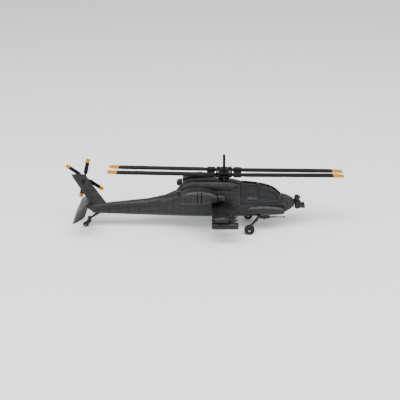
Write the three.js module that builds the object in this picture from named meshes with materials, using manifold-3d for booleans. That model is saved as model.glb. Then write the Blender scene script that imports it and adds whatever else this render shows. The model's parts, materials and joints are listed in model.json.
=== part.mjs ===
// Die-cast scale model of a two-seat attack helicopter, main rotor blades folded fore and aft.
// Millimetres, +X to the nose, +Y to port, +Z up, wheels on z = 0.
// Inside the airframe group x is measured from the rotor mast.
import * as THREE from "three";
import { mergeVertices } from "three/addons/utils/BufferGeometryUtils.js";
import Module from "manifold-3d";

const wasm = await Module();
wasm.setup();

const DEGREE = Math.PI / 180;

// Fits
const MAST_X = 24.2; // places the model's footprint centre on the origin
const GAP = 0.3; // clearance between touching pieces
const PIN_SIDES = 12;
const REACH = 250; // longer than the model, for cutting blocks

// Fuselage
const WALL = 1.3;
const CORNER_CUT = 0.17; // share of an edge that is cut off at each corner of a section
const BELLY_Z = 17.3;
const SILL_Z = 36;
const NOSE_FRONT_X = 79.5;
const NOSE_DECK_X = 66;
const REAR_BULKHEAD_X = 18.7;
const STEP = 0.2; // length of the near-vertical wall between two stations
const CAVITY_REAR_X = -128;

// Columns: x, bottom z, bottom half width, lower corner z, half width, shoulder z, roof half width, top z
const FUSELAGE_STATIONS = [
  [NOSE_FRONT_X, 27.5, 3, 29.5, 5.6, 34.9, 3.6, 36.2],
  [76, 25, 4, 27.6, 6.6, 35.9, 4.8, 38],
  [72, 22.6, 4.6, 25.8, 7.4, 37.1, 5.6, 39.8],
  [NOSE_DECK_X + STEP, 20.2, 5.2, 24, 8.4, 38.6, 6.4, 41.3],
  [NOSE_DECK_X, 20.2, 5.2, 24, 8.4, 34.8, 7.9, SILL_Z],
  [58, 18.4, 6, 22.5, 9.8, 34.8, 9.3, SILL_Z],
  [48, 17.5, 6.4, 21.5, 10.8, 34.8, 10.3, SILL_Z],
  [30, BELLY_Z, 6.6, 21, 11.2, 34.8, 10.7, SILL_Z],
  [REAR_BULKHEAD_X, BELLY_Z, 6.6, 21, 11.2, 34.8, 10.7, SILL_Z],
  [REAR_BULKHEAD_X - STEP, BELLY_Z, 6.6, 21, 11.2, 46.5, 8.6, 51.4],
  [5, BELLY_Z, 6.6, 21, 11.4, 47.5, 9, 52],
  [-25, BELLY_Z, 6.6, 21, 11.4, 47.5, 9, 52],
  [-42, BELLY_Z, 6.4, 21.4, 11, 46.5, 8, 50.4],
  [-49, BELLY_Z, 6.2, 21.8, 10.4, 44.8, 6.6, 48.6],
  [-58, BELLY_Z, 5.6, 22, 9.2, 40.6, 5.2, 45.2],
  [-66.5, BELLY_Z, 5, 22, 8.2, 37, 4, 41.3],
  [-75, 17.4, 4.6, 22, 7.4, 33.4, 3.4, 39.4],
  [-88, 17.8, 4.2, 21.6, 6.7, 32, 2.9, 36.7],
  [-110, 18.4, 3.7, 21.6, 5.6, 29.9, 2.4, 34.4],
  [-133.6, 19.2, 3.1, 21.6, 4.5, 27.8, 2, 31.9],
  [-153.5, 20, 2.6, 21.8, 3.6, 25.9, 1.6, 29.6],
];

// Fin. Columns: z, leading edge x, trailing edge x, thickness
const FIN_STATIONS = [
  [27, -133.4, -153.4, 3],
  [64, -155.1, -171.6, 2.8],
  [67.8, -157.3, -173.4, 2.6],
  [69, -158.8, -173.2, 1.4],
];

// Canopy. Columns: x, half width at the sill, side corner half width, side corner z, roof half width, top z
const CANOPY_STATIONS = [
  [65.7, 7.9, 7.9, 38, 5, 41.3],
  [63, 8.3, 8.2, 39, 4.8, 44.6],
  [59, 8.9, 8.7, 40, 4.6, 48.4],
  [54, 9.4, 9.1, 41, 4.5, 51.6],
  [48, 9.9, 9.5, 42, 4.5, 53.9],
  [40.5, 10.3, 9.9, 42.6, 4.7, 55.7],
  [30, 10.5, 10.1, 43, 5, 57.2],
  [19, 10.5, 10.1, 43, 5.2, 58.2],
];
const CANOPY_WALL = 1;
const GLASS_WALL = 0.7;
const GLASS_BOTTOM_Z = 37.5;

// Side window outlines, x and z
const FRONT_WINDOW = [
  [40.4, 43.4],
  [52, 41.2],
  [61, 39.4],
  [62.2, 41.2],
  [57, 47],
  [50, 51],
  [40.4, 53.2],
];
const REAR_UPPER_WINDOW = [
  [26.6, 46.6],
  [37.6, 46.6],
  [37.6, 53.6],
  [26.6, 54.8],
];
const REAR_LOWER_WINDOW = [
  [26.6, 39.8],
  [37.6, 39.8],
  [37.6, 45.2],
  [26.6, 45.2],
];
// Roof windows. Columns: rear x, front x, half width
const ROOF_WINDOWS = [
  [22, 37.4, 3.6],
  [40.4, 51.6, 3.2],
  [53, 64.2, 3.2],
];

// Cockpit
const TUB = { rear: 21.5, front: 60, half: 6.6, floor: 25, wall: 0.8, lip: 0.6 };
const SEATS = [
  { name: "seat_front", x: 44, seatTop: 31, backTop: 42 },
  { name: "seat_rear", x: 25.5, seatTop: 34, backTop: 46 },
];
const SEAT_HALF = 3.6;
const PANELS = [
  { name: "instrument_panel_front", x: 55.5, top: 40 },
  { name: "instrument_panel_rear", x: 38, top: 45 },
];
const PANEL_HALF = 4.8;
const PANEL_DEEP = 2.6;

// Rotor deck cowling. Columns: x, half width, wall corner z, roof half width, top z
const COWLING_BASE_Z = 44;
const COWLING_STATIONS = [
  [18.4, 8.2, 54, 5.2, 58.4],
  [10, 8.8, 55, 5, 60.6],
  [2, 9, 56, 4.8, 61.5],
  [-16, 9, 56, 4.6, 61.8],
  [-36, 8.2, 55, 4, 61.2],
  [-45, 6.8, 53, 3.2, 59],
  [-50, 5.2, 50.4, 2.4, 54.4],
  [-54, 3.6, 47.8, 1.6, 49.4],
];

// Engines
const NACELLE_Y = 20;
// Columns: x, bottom z, top z, half width
const NACELLE_STATIONS = [
  [-48, 43.6, 55, 6.2],
  [-40, 43, 58.2, 7.2],
  [-28, 43, 59.4, 7.6],
  [-16, 43.6, 57.4, 7.2],
  [-8, 45, 53.9, 6.2],
];
const NACELLE_CORNER = 0.3; // share of the half size that is cut off at a corner
const NACELLE_SLOTS = [-29.7, -25.1];
const SLOT = { wide: 0.6, deep: 0.6 };
const INTAKE = { depth: 2.2, lip: 1.1 };
// Columns: x, half width, half height
const GEARBOX_STATIONS = [
  [-9.8, 3.4, 2.4],
  [-7.4, 3.6, 2.6],
  [-7, 4.4, 3.8],
  [-1.5, 4.2, 3.6],
  [0.8, 3, 2.6],
];
const GEARBOX_Z = 49.6;
const EXHAUST = { rear: -54.8, front: -48.4, inner: 9.8, outer: 16.6, bottom: 48.2, top: 55.4 };
const EXHAUST_SLOTS = 3;
const EXHAUST_CORNER = 0.25;

// Cheek avionics bays. Columns: x, bottom z, top z, outer y
const BAY_INNER_Y = 5;
const BAY_STATIONS = [
  [69.6, 24.6, 29.4, 12],
  [67.6, 22.9, 30.8, 14.2],
  [60, 22.7, 32.6, 15],
  [45, 22.7, 34.1, 15],
  [38, 23.8, 33.4, 14.6],
  [24, 27.6, 31.2, 12.4],
];

// Stub wings and stores
const WING = {
  rootY: 8,
  tipY: 47.5,
  z: 36.9,
  thick: 3,
  leadRoot: 4.6,
  leadTip: 3,
  trailRoot: -13.6,
  trailTip: -12.4,
};
const PYLON = { rear: -10.5, front: 4.5, half: 1.2, bottom: 28.8 };
const RACK_Y = 28;
const POD_Y = 41;
const POD = { rear: -14, front: 15.6, radius: 3.9, z: 24.5 };
const MISSILE = { rear: -14, front: 15.6, radius: 1.6, offsetY: 3.3, lowZ: 21.9, highZ: 26.7 };
const RACK = { rear: -7, front: 7, half: 1, bottom: 21.2, barHalf: 0.7 };

// Main landing gear
const GEAR = { pivotX: 40, pivotZ: 19.6, pivotY: 12.4, axleX: 29, footY: 14.1 };
const WHEEL = { radius: 6, half: 2.1, y: 18.2, rim: 3.9, dish: 0.7 };
const AXLE_RADIUS = 0.75;
const AXLE_HEAD = 1.5;

// Tail gear
const CASTOR = { x: -158, bossBottom: 9.6, bossTop: 13.4, trail: 5 };
const STRUT = { x: -145, half: 2.4, z: 20.4 };
const TAIL_WHEEL = { radius: 3.3, half: 1.2, rim: 2, dish: 0.4 };
const TAIL_PIN_RADIUS = 0.6;

// Chin gun
const GUN = { x: 47, z: 12.4, rear: 41.5, breech: 53, muzzle: 71.5 };

// Nose sights
const SIGHT = { x: 84.6, plateBottom: 33.9, plateTop: 35, pinRadius: 0.8 };
const TARGET_SIGHT = {
  bottom: 25,
  top: 33.6,
  radius: 3.8,
  eyeZ: 28.3,
  eyeY: 2.7,
  eyeRadius: 2.1,
  front: 92.9,
};
const NIGHT_SENSOR = { x: 83.4, bottom: 35.3, top: 41.9, radius: 3 };

// Main rotor
const SHAFT_RADIUS = 2;
const SHAFT_BOTTOM_Z = 46.2;
const RETAINER = { bottom: 47.2, top: 48.8, radius: 4 };
const SWASHPLATE = { bottom: 62.8, top: 64.4, radius: 5.8, linkRadius: 0.4, linkTop: 68 };
const HUB = { bottom: 66.4, top: 74, radius: 4.3, yaw: -2.3 };
const PIN_OFFSET = 6.5;
const HUB_EAR = { radius: 2.6, lowBottom: 68.4, lowTop: 69.8, highBottom: 72.2, highTop: 73.6 };
const FOLD_PIN = { radius: 0.9, head: 1.6, bottom: 67.8, headBottom: 73.9, top: 74.7 };
const MAST_POST = { bottom: 74.4, flange: 2.6, flangeTop: 75.4, radius: 1.5, top: 93.2 };
const BLADE_Z = 71;
const BLADE_LUG = { radius: 2.6, half: 0.9 };
const BLADE_GRIP = { start: 3.4, end: 12, half: 2.3, thickHalf: 1.4 };
// Columns: distance from the fold pin, leading edge y, trailing edge y, thickness
const BLADE_STATIONS = [
  [9, 2, -2, 1.8],
  [17, 4.2, -5.4, 1.3],
  [114.8, 4.2, -5.4, 1.15],
  [126.5, 0.6, -5.6, 0.7],
];
// Each blade's corner of the hub, and the way it points when folded, degrees from the nose
const BLADES = [
  { name: "left_front", x: 1, y: 1, heading: -1.95 },
  { name: "right_front", x: 1, y: -1, heading: -1.15 },
  { name: "left_rear", x: -1, y: 1, heading: 176.6 },
  { name: "right_rear", x: -1, y: -1, heading: 177 },
];

// Tail rotor
const TAIL_ROTOR = { x: -160.4, z: 60.4, radius: 25.4, chord: 4.6, hub: 2.6, shaft: 0.9, head: 1.7 };
const TAIL_BOSS = { radius: 3.2, outer: 6.2 };
const TAIL_SHAFT = { inner: -2.6, outer: 10.9, headLong: 0.8 };
const TAIL_PAIRS = [
  { name: "tail_rotor_inner_pair", y: 7.2, angle: 75 },
  { name: "tail_rotor_outer_pair", y: 8.9, angle: 142 },
];
const TAIL_PAIR_HALF = 0.65;

// Stabilator
const STABILATOR = { hingeX: -158.1, hingeZ: 29.4, droop: 32.5, half: 30.9, lead: 2, trail: -17.6, thick: 2 };
const HINGE = { lugInner: 2.9, lugOuter: 4.5, knuckle: 2.6, radius: 1.8, pin: 0.6, pinHalf: 4.6 };

// Screws between the fuselage halves. Columns: name, x, z, y of the seat under the head
const SCREWS = [
  ["screw_front", 10, 26, 10],
  ["screw_rear", -64, 27, 7.2],
];
const SCREW = { head: 1.6, headTall: 0.9, shank: 0.7, end: -5.5, boss: 2.3 };

// Socket for a display stand
const SOCKET = { x: -3, inner: 2.6, outer: 3.8, flange: 5.4, depth: 6, flangeBottom: 19, flangeTop: 19.8 };

const materials = {
  paint: material(0x2c2d2e, 0.42, 0.15),
  glass: material(0x1a1c1f, 0.08, 0),
  plastic: material(0x1b1b1c, 0.5, 0),
  rotor: material(0x151415, 0.4, 0),
  rubber: material(0x131313, 0.85, 0),
  steel: material(0x77787a, 0.35, 1),
};

function material(color, roughness, metalness) {
  return new THREE.MeshStandardMaterial({ color, roughness, metalness });
}

// ---- Solids ----

function signedVolume(points, faces) {
  return faces.reduce((sum, [a, b, c]) => {
    return sum + points[a].dot(points[b].clone().cross(points[c])) / 6;
  }, 0);
}

function solidOfFaces(points, faces) {
  const outward = signedVolume(points, faces) > 0;
  const turned = outward ? faces : faces.map(([a, b, c]) => [a, c, b]);
  return new wasm.Manifold(
    new wasm.Mesh({
      numProp: 3,
      vertProperties: new Float32Array(points.flatMap((p) => p.toArray())),
      triVerts: new Uint32Array(turned.flat()),
    }),
  );
}

function solidOf(geometry) {
  const bare = geometry.clone();
  bare.deleteAttribute("normal");
  bare.deleteAttribute("uv");
  const merged = mergeVertices(bare, 1e-4);
  const place = merged.attributes.position;
  const points = Array.from({ length: place.count }, (_, i) => {
    return new THREE.Vector3().fromBufferAttribute(place, i);
  });
  const index = Array.from(merged.index.array);
  const faces = [];
  for (let i = 0; i < index.length; i += 3) {
    const face = index.slice(i, i + 3);
    if (new Set(face).size === 3) faces.push(face);
  }
  return solidOfFaces(points, faces);
}

function join(...solids) {
  return solids.reduce((whole, piece) => whole.add(piece));
}

function box(x0, x1, y0, y1, z0, z1) {
  const shape = new THREE.BoxGeometry(x1 - x0, y1 - y0, z1 - z0);
  shape.translate((x0 + x1) / 2, (y0 + y1) / 2, (z0 + z1) / 2);
  return solidOf(shape);
}

// A round rod between two points, each [x, y, z], tapered when a second radius is given.
function rod(from, to, radius, sides = PIN_SIDES, endRadius = radius) {
  const a = new THREE.Vector3(...from);
  const b = new THREE.Vector3(...to);
  const along = b.clone().sub(a);
  const shape = new THREE.CylinderGeometry(endRadius, radius, along.length(), sides);
  const up = new THREE.Vector3(0, 1, 0);
  shape.applyQuaternion(new THREE.Quaternion().setFromUnitVectors(up, along.clone().normalize()));
  shape.translate(...a.add(b).divideScalar(2).toArray());
  return solidOf(shape);
}

// A turned piece about the Y axis from a profile of [radius, y] points.
function turned(profile, sides) {
  const points = profile.map(([radius, y]) => new THREE.Vector2(radius, y));
  return solidOf(new THREE.LatheGeometry(points, sides));
}

// A plate with an outline in x and z, between two values of y.
function plate(outline, y0, y1) {
  const shape = new THREE.Shape(outline.map(([x, z]) => new THREE.Vector2(x, z)));
  const block = new THREE.ExtrudeGeometry(shape, { depth: y1 - y0, bevelEnabled: false });
  block.rotateX(Math.PI / 2);
  block.translate(0, y1, 0);
  return solidOf(block);
}

// A skin over rings of points, one ring per station, closed by a flat cap at each end.
function loft(rings) {
  const count = rings[0].length;
  const points = rings.flat();
  const last = points.length - count;
  const faces = [];
  for (let row = 0; row < last; row += count) {
    for (let i = 0; i < count; i++) {
      const a = row + i;
      const b = row + ((i + 1) % count);
      faces.push([a, b, b + count], [a, b + count, a + count]);
    }
  }
  for (let i = 1; i < count - 1; i++) {
    faces.push([0, i + 1, i], [last, last + i, last + i + 1]);
  }
  return solidOfFaces(points, faces);
}

// ---- Sections ----

function between([y0, z0], [y1, z1], share) {
  return [y0 + (y1 - y0) * share, z0 + (z1 - z0) * share];
}

// Cuts the corners off an open outline, its first and last points apart.
function soften(outline) {
  const corners = outline.slice(1, -1).flatMap((corner, i) => [
    between(corner, outline[i], CORNER_CUT),
    between(corner, outline[i + 2], CORNER_CUT),
  ]);
  return [outline[0], ...corners, outline.at(-1)];
}

function ringAt(x, outline) {
  return outline.map(([y, z]) => new THREE.Vector3(x, y, z));
}

// A ring across the model from its port half, which runs from the bottom centre to the top centre.
function mirroredRing(x, half) {
  const other = half.slice(1, -1).reverse();
  return ringAt(x, [...half, ...other.map(([y, z]) => [-y, z])]);
}

function fuselageSolid(grow) {
  const rings = FUSELAGE_STATIONS.map(([x, zBottom, wBottom, zLower, wide, zShoulder, wRoof, zTop]) => {
    const half = [
      [0, zBottom - grow],
      [wBottom + grow / 2, zBottom - grow],
      [wide + grow, zLower - grow / 2],
      [wide + grow, zShoulder + grow / 2],
      [wRoof + grow / 2, zTop + grow],
      [0, zTop + grow],
    ];
    return mirroredRing(x, soften(half));
  });
  return loft(rings);
}

function canopySolid(shrink, bottom) {
  const rings = CANOPY_STATIONS.map(([x, wSill, wSide, zSide, wRoof, zTop]) => {
    const half = [
      [0, bottom],
      [wSill - shrink, bottom],
      [wSide - shrink, zSide],
      [wRoof - shrink / 2, zTop - shrink],
      [0, zTop - shrink],
    ];
    return mirroredRing(x, [half[0], ...soften(half.slice(1))]);
  });
  return loft(rings);
}

function cowlingSolid(shrink) {
  const rings = COWLING_STATIONS.map(([x, wide, zCorner, wRoof, zTop]) => {
    const half = [
      [0, COWLING_BASE_Z],
      [wide - shrink, COWLING_BASE_Z],
      [wide - shrink, zCorner - shrink / 2],
      [wRoof - shrink / 2, zTop - shrink],
      [0, zTop - shrink],
    ];
    return mirroredRing(x, [half[0], ...soften(half.slice(1))]);
  });
  return loft(rings);
}

// An eight-sided ring around a centre, with its corners cut.
function cutRing(x, y, z, halfWide, halfTall, cut) {
  const wide = halfWide * (1 - cut);
  const tall = halfTall * (1 - cut);
  const outline = [
    [wide, -halfTall],
    [halfWide, -tall],
    [halfWide, tall],
    [wide, halfTall],
    [-wide, halfTall],
    [-halfWide, tall],
    [-halfWide, -tall],
    [-wide, -halfTall],
  ];
  return ringAt(x, outline.map(([dy, dz]) => [y + dy, z + dz]));
}

// A thin wing section with a blunt nose, between a leading and a trailing edge along the first axis.
function foil(lead, trail, thick) {
  const chord = lead - trail;
  const edge = Math.min(0.15, thick / 4);
  return [
    [lead, 0],
    [lead - chord * 0.06, thick * 0.3],
    [lead - chord * 0.3, thick / 2],
    [lead - chord * 0.65, thick * 0.38],
    [trail, edge],
    [trail, -edge],
    [lead - chord * 0.65, -thick * 0.38],
    [lead - chord * 0.3, -thick / 2],
    [lead - chord * 0.06, -thick * 0.3],
  ];
}

// ---- Airframe ----

function finSolid() {
  return loft(
    FIN_STATIONS.map(([z, lead, trail, thick]) => {
      return foil(lead, trail, thick).map(([x, y]) => new THREE.Vector3(x, y, z));
    }),
  );
}

function cavity() {
  const rear = box(CAVITY_REAR_X, REAR_BULKHEAD_X - STEP - WALL, -REACH, REACH, 0, REACH);
  const deck = SILL_Z - WALL;
  const cockpit = box(REAR_BULKHEAD_X - STEP - 2 * WALL, NOSE_DECK_X - WALL, -REACH, REACH, 0, deck + STEP);
  return fuselageSolid(-WALL).intersect(join(rear, cockpit));
}

function stabilatorLugs() {
  const { hingeX, hingeZ } = STABILATOR;
  const { lugInner, lugOuter, radius } = HINGE;
  const root = [
    [-148, 22.5],
    [-148, 28],
    [hingeX, hingeZ + radius],
    [hingeX - 1, hingeZ - radius],
    [-154, 24],
  ];
  return join(
    ...[1, -1].map((side) => {
      const y = [side * lugInner, side * lugOuter].sort((a, b) => a - b);
      const eye = rod([hingeX, y[0], hingeZ], [hingeX, y[1], hingeZ], radius);
      return plate(root, ...y).add(eye);
    }),
  );
}

function screwBosses() {
  return join(
    ...SCREWS.map(([, x, z, seat]) => rod([x, -seat, z], [x, seat, z], SCREW.boss)),
  );
}

function screwHoles() {
  return join(
    ...SCREWS.map(([, x, z, seat]) => {
      const shank = rod([x, SCREW.end - GAP, z], [x, REACH, z], SCREW.shank + GAP);
      return shank.add(rod([x, seat, z], [x, REACH, z], SCREW.head + GAP));
    }),
  );
}

function wholeFuselage() {
  const { hingeX, hingeZ } = STABILATOR;
  const skin = fuselageSolid(0);
  const bosses = screwBosses().intersect(fuselageSolid(-WALL / 2));
  const shell = skin.subtract(cavity()).add(bosses);
  const tailBoss = rod(
    [TAIL_ROTOR.x, 0, TAIL_ROTOR.z],
    [TAIL_ROTOR.x, TAIL_BOSS.outer, TAIL_ROTOR.z],
    TAIL_BOSS.radius,
    PIN_SIDES,
    TAIL_BOSS.radius * 0.8,
  );
  const solid = join(shell, finSolid(), stabilatorLugs(), tailBoss);
  const { half, rear, front } = TUB;
  const socketHalf = SOCKET.outer + GAP;
  const cuts = join(
    box(rear - GAP, front + GAP, -half - GAP, half + GAP, SILL_Z - 2 * WALL, SILL_Z + 1),
    rod([0, 0, SILL_Z + WALL], [0, 0, REACH], SHAFT_RADIUS + 2 * GAP),
    rod([TAIL_ROTOR.x, -REACH, TAIL_ROTOR.z], [TAIL_ROTOR.x, REACH, TAIL_ROTOR.z], TAIL_ROTOR.shaft + GAP),
    rod([hingeX, -REACH, hingeZ], [hingeX, REACH, hingeZ], HINGE.pin + GAP),
    box(SOCKET.x - socketHalf, SOCKET.x + socketHalf, -socketHalf, socketHalf, 0, BELLY_Z + 2 * WALL),
    screwHoles(),
  );
  return solid.subtract(cuts);
}

function canopyFrame() {
  const outer = canopySolid(0, SILL_Z + GAP);
  const front = CANOPY_STATIONS[0][0];
  const rear = CANOPY_STATIONS.at(-1)[0];
  const room = box(rear + CANOPY_WALL, front - CANOPY_WALL, -REACH, REACH, 0, REACH);
  const inner = canopySolid(CANOPY_WALL, SILL_Z - 1).intersect(room);
  const sides = [FRONT_WINDOW, REAR_UPPER_WINDOW, REAR_LOWER_WINDOW].map((outline) => {
    return plate(outline, -REACH, REACH);
  });
  const roofs = ROOF_WINDOWS.map(([x0, x1, half]) => box(x0, x1, -half, half, SILL_Z + 6, REACH));
  return outer.subtract(join(inner, ...sides, ...roofs));
}

function canopyGlass() {
  const front = CANOPY_STATIONS[0][0] - CANOPY_WALL - GAP;
  const rear = CANOPY_STATIONS.at(-1)[0] + CANOPY_WALL + GAP;
  const shrink = CANOPY_WALL + GAP;
  const hood = box(rear, front, -REACH, REACH, GLASS_BOTTOM_Z, REACH);
  const room = box(rear + GLASS_WALL, front - GLASS_WALL, -REACH, REACH, 0, REACH);
  const outer = canopySolid(shrink, SILL_Z).intersect(hood);
  return outer.subtract(canopySolid(shrink + GLASS_WALL, SILL_Z - 1).intersect(room));
}

function cockpitTub() {
  const { rear, front, half, floor, wall, lip } = TUB;
  const body = box(rear, front, -half, half, floor, SILL_Z + GAP + 0.1);
  const rim = box(rear - lip, front + lip, -half - lip, half + lip, SILL_Z + GAP, SILL_Z + GAP + lip);
  const room = box(rear + wall, front - wall, -half + wall, half - wall, floor + wall, REACH);
  return body.add(rim).subtract(room);
}

function seat({ x, seatTop, backTop }) {
  const floor = TUB.floor + TUB.wall + GAP;
  const outline = [
    [x, floor],
    [x + 6.4, floor],
    [x + 6.8, seatTop],
    [x + 2.2, seatTop - 0.6],
    [x + 0.8, backTop],
    [x - 1.4, backTop],
  ];
  const chair = plate(outline, -SEAT_HALF, SEAT_HALF);
  const head = box(x - 1.2, x + 0.6, -1.7, 1.7, backTop - 0.4, backTop + 2.6);
  return chair.add(head);
}

function instrumentPanel({ x, top }) {
  const floor = TUB.floor + TUB.wall + GAP;
  const outline = [
    [x, floor],
    [x + PANEL_DEEP, floor],
    [x + PANEL_DEEP, top],
    [x - 0.8, top - 0.6],
    [x - 0.8, top - 5],
  ];
  return plate(outline, -PANEL_HALF, PANEL_HALF);
}

function cowling() {
  const front = COWLING_STATIONS[0][0];
  const room = box(COWLING_STATIONS.at(-2)[0], front - WALL, -REACH, REACH, 0, REACH);
  const hollow = cowlingSolid(WALL).intersect(room);
  const bore = rod([0, 0, COWLING_BASE_Z], [0, 0, REACH], SHAFT_RADIUS + 2 * GAP);
  return cowlingSolid(0).subtract(join(hollow, bore, fuselageSolid(GAP)));
}

function nacelle(side) {
  const y = side * NACELLE_Y;
  const rings = NACELLE_STATIONS.map(([x, bottom, top, half]) => {
    return cutRing(x, y, (bottom + top) / 2, half, (top - bottom) / 2, NACELLE_CORNER);
  });
  const [frontX, frontBottom, frontTop, frontHalf] = NACELLE_STATIONS.at(-1);
  const halfTall = (frontTop - frontBottom) / 2 - INTAKE.lip;
  const mouth = loft(
    [frontX - INTAKE.depth, frontX + 1].map((x) => {
      const middle = (frontBottom + frontTop) / 2;
      return cutRing(x, y, middle, frontHalf - INTAKE.lip, halfTall, NACELLE_CORNER);
    }),
  );
  const inner = side * 8;
  const outer = side * (NACELLE_Y - 5);
  const mount = box(-42, -13, Math.min(inner, outer), Math.max(inner, outer), 44.6, 49.4);
  const slots = NACELLE_SLOTS.map((x) => {
    const depth = SLOT.deep;
    const ring = (at) => cutRing(at, y, 51.2, 7.5 - depth, 8.1 - depth, NACELLE_CORNER);
    const core = loft([ring(x - 1), ring(x + 1)]);
    return box(x - SLOT.wide / 2, x + SLOT.wide / 2, y - 9, y + 9, 40, 62).subtract(core);
  });
  return loft(rings).add(mount).subtract(join(mouth, fuselageSolid(GAP), ...slots));
}

function noseGearbox(side) {
  const rings = GEARBOX_STATIONS.map(([x, halfWide, halfTall]) => {
    return cutRing(x, side * NACELLE_Y, GEARBOX_Z, halfWide, halfTall, NACELLE_CORNER);
  });
  return loft(rings);
}

function exhaust(side) {
  const { rear, front, inner, outer, bottom, top } = EXHAUST;
  const y = (side * (inner + outer)) / 2;
  const z = (bottom + top) / 2;
  const wide = (outer - inner) / 2;
  const tall = (top - bottom) / 2;
  const rings = [
    cutRing(rear, y, z - 0.6, wide - 1.4, tall - 1.6, EXHAUST_CORNER),
    cutRing(rear + 2, y, z, wide - 0.4, tall - 0.4, EXHAUST_CORNER),
    cutRing(front, y, z, wide, tall, EXHAUST_CORNER),
  ];
  const pitch = (top - bottom - 2) / EXHAUST_SLOTS;
  const slots = Array.from({ length: EXHAUST_SLOTS }, (_, i) => {
    const low = bottom + 1.2 + i * pitch;
    const reach = [side * (outer - 1.6), side * (outer + 2)].sort((a, b) => a - b);
    return box(rear + 1.6, front - 1.2, ...reach, low, low + pitch * 0.6);
  });
  return loft(rings).subtract(join(...slots, fuselageSolid(GAP)));
}

function avionicsBay(side) {
  const rings = BAY_STATIONS.map(([x, bottom, top, outer]) => {
    const outline = [
      [BAY_INNER_Y, bottom],
      [outer - 2, bottom],
      [outer, bottom + 2],
      [outer, top - 2.2],
      [outer - 2.6, top],
      [BAY_INNER_Y, top],
    ];
    return ringAt(x, outline.map(([y, z]) => [side * y, z]));
  });
  return loft(rings).subtract(fuselageSolid(GAP));
}

function wing(side) {
  const { rootY, tipY, z, thick, leadRoot, leadTip, trailRoot, trailTip } = WING;
  const ring = (y, lead, trail, depth) => {
    return foil(lead, trail, depth).map(([x, dz]) => new THREE.Vector3(x, side * y, z + dz));
  };
  const panel = loft([
    ring(rootY, leadRoot, trailRoot, thick),
    ring(tipY - 1, leadTip, trailTip, thick * 0.9),
    ring(tipY, leadTip - 1, trailTip + 0.6, thick * 0.4),
  ]);
  const pylons = [RACK_Y, POD_Y].map((y) => {
    return loft([
      cutRing(PYLON.rear, side * y, (PYLON.bottom + z) / 2, PYLON.half * 0.5, (z - PYLON.bottom) / 2, 0.2),
      cutRing(PYLON.rear + 4, side * y, (PYLON.bottom + z) / 2, PYLON.half, (z - PYLON.bottom) / 2, 0.2),
      cutRing(PYLON.front - 3, side * y, (PYLON.bottom + z) / 2, PYLON.half, (z - PYLON.bottom) / 2, 0.2),
      cutRing(PYLON.front, side * y, (PYLON.bottom + z) / 2, PYLON.half * 0.5, (z - PYLON.bottom) / 2, 0.2),
    ]);
  });
  return join(panel, ...pylons).subtract(fuselageSolid(GAP));
}

function rocketPod(side) {
  const { rear, front, radius, z } = POD;
  const profile = [
    [0, rear + 1.2],
    [radius - 1.3, rear + 1.2],
    [radius - 1.3, rear],
    [radius - 0.9, rear],
    [radius, rear + 3],
    [radius, front - 3.4],
    [radius - 0.5, front],
    [radius - 0.9, front],
    [radius - 0.9, front - 0.9],
    [0, front - 0.9],
  ];
  return turned(profile, 16).rotate([0, 0, -90]).translate([0, side * POD_Y, z]);
}

function missile(y, z) {
  const { rear, front, radius } = MISSILE;
  const profile = [
    [0, rear],
    [radius * 0.8, rear],
    [radius, rear + 1],
    [radius, front - 3.6],
    [radius * 0.82, front - 1.4],
    [radius * 0.45, front - 0.3],
    [0, front],
  ];
  return turned(profile, 8).rotate([0, 0, -90]).translate([0, y, z]);
}

function missileRack(side) {
  const y = side * RACK_Y;
  const { rear, front, half, bottom, barHalf } = RACK;
  const beam = box(rear, front, y - half, y + half, bottom, PYLON.bottom - GAP);
  const rows = [MISSILE.lowZ, MISSILE.highZ].map((z) => {
    const arm = box(rear + 2, front - 2, y - MISSILE.offsetY, y + MISSILE.offsetY, z - barHalf, z + barHalf);
    return join(arm, missile(y - MISSILE.offsetY, z), missile(y + MISSILE.offsetY, z));
  });
  return join(beam, ...rows);
}

// ---- Landing gear ----

function mainLeg(side) {
  const { pivotX, pivotZ, pivotY, axleX, footY } = GEAR;
  const trunnion = rod([pivotX, side * 7, pivotZ], [pivotX, side * pivotY, pivotZ], 1.9, 12);
  const arm = rod([pivotX, side * (pivotY - 1.4), pivotZ], [axleX, side * footY, WHEEL.radius], 1.5, 8, 1.2);
  const z = WHEEL.radius;
  const foot = rod([axleX, side * (footY - 1.5), z], [axleX, side * (footY + 1.2), z], 1.9);
  const bore = rod([axleX, -REACH, z], [axleX, REACH, z], AXLE_RADIUS + GAP);
  return join(trunnion, arm, foot).subtract(join(bore, fuselageSolid(GAP)));
}

function mainAxle(side) {
  const z = WHEEL.radius;
  const outer = WHEEL.y + WHEEL.half + GAP;
  const pin = rod([GEAR.axleX, side * (GEAR.footY - 1.9), z], [GEAR.axleX, side * outer, z], AXLE_RADIUS);
  const head = rod([GEAR.axleX, side * outer, z], [GEAR.axleX, side * (outer + 0.7), z], AXLE_HEAD);
  return pin.add(head);
}

// A wheel about the Y axis with a dished hub on each side.
function wheelSolid({ radius, half, rim, dish }, bore, sides) {
  const shoulder = radius * 0.18;
  const profile = [
    [bore, -half + dish],
    [rim, -half + dish],
    [rim, -half],
    [radius - shoulder, -half],
    [radius, -half + shoulder],
    [radius, half - shoulder],
    [radius - shoulder, half],
    [rim, half],
    [rim, half - dish],
    [bore, half - dish],
    [bore, -half + dish],
  ];
  return turned(profile, sides);
}

function tailStrut() {
  const { x, bossBottom, bossTop } = CASTOR;
  const boss = rod([x, 0, bossBottom], [x, 0, bossTop], 2.1);
  const middle = (bossBottom + bossTop) / 2;
  const arms = [1, -1].map((side) => {
    return rod([STRUT.x, side * STRUT.half, STRUT.z], [x + 0.6, side * 0.6, middle], 1.1, 8, 0.9);
  });
  const bore = rod([x, 0, 0], [x, 0, bossTop - 0.8], 1.2);
  return join(boss, ...arms).subtract(join(bore, fuselageSolid(GAP)));
}

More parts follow.
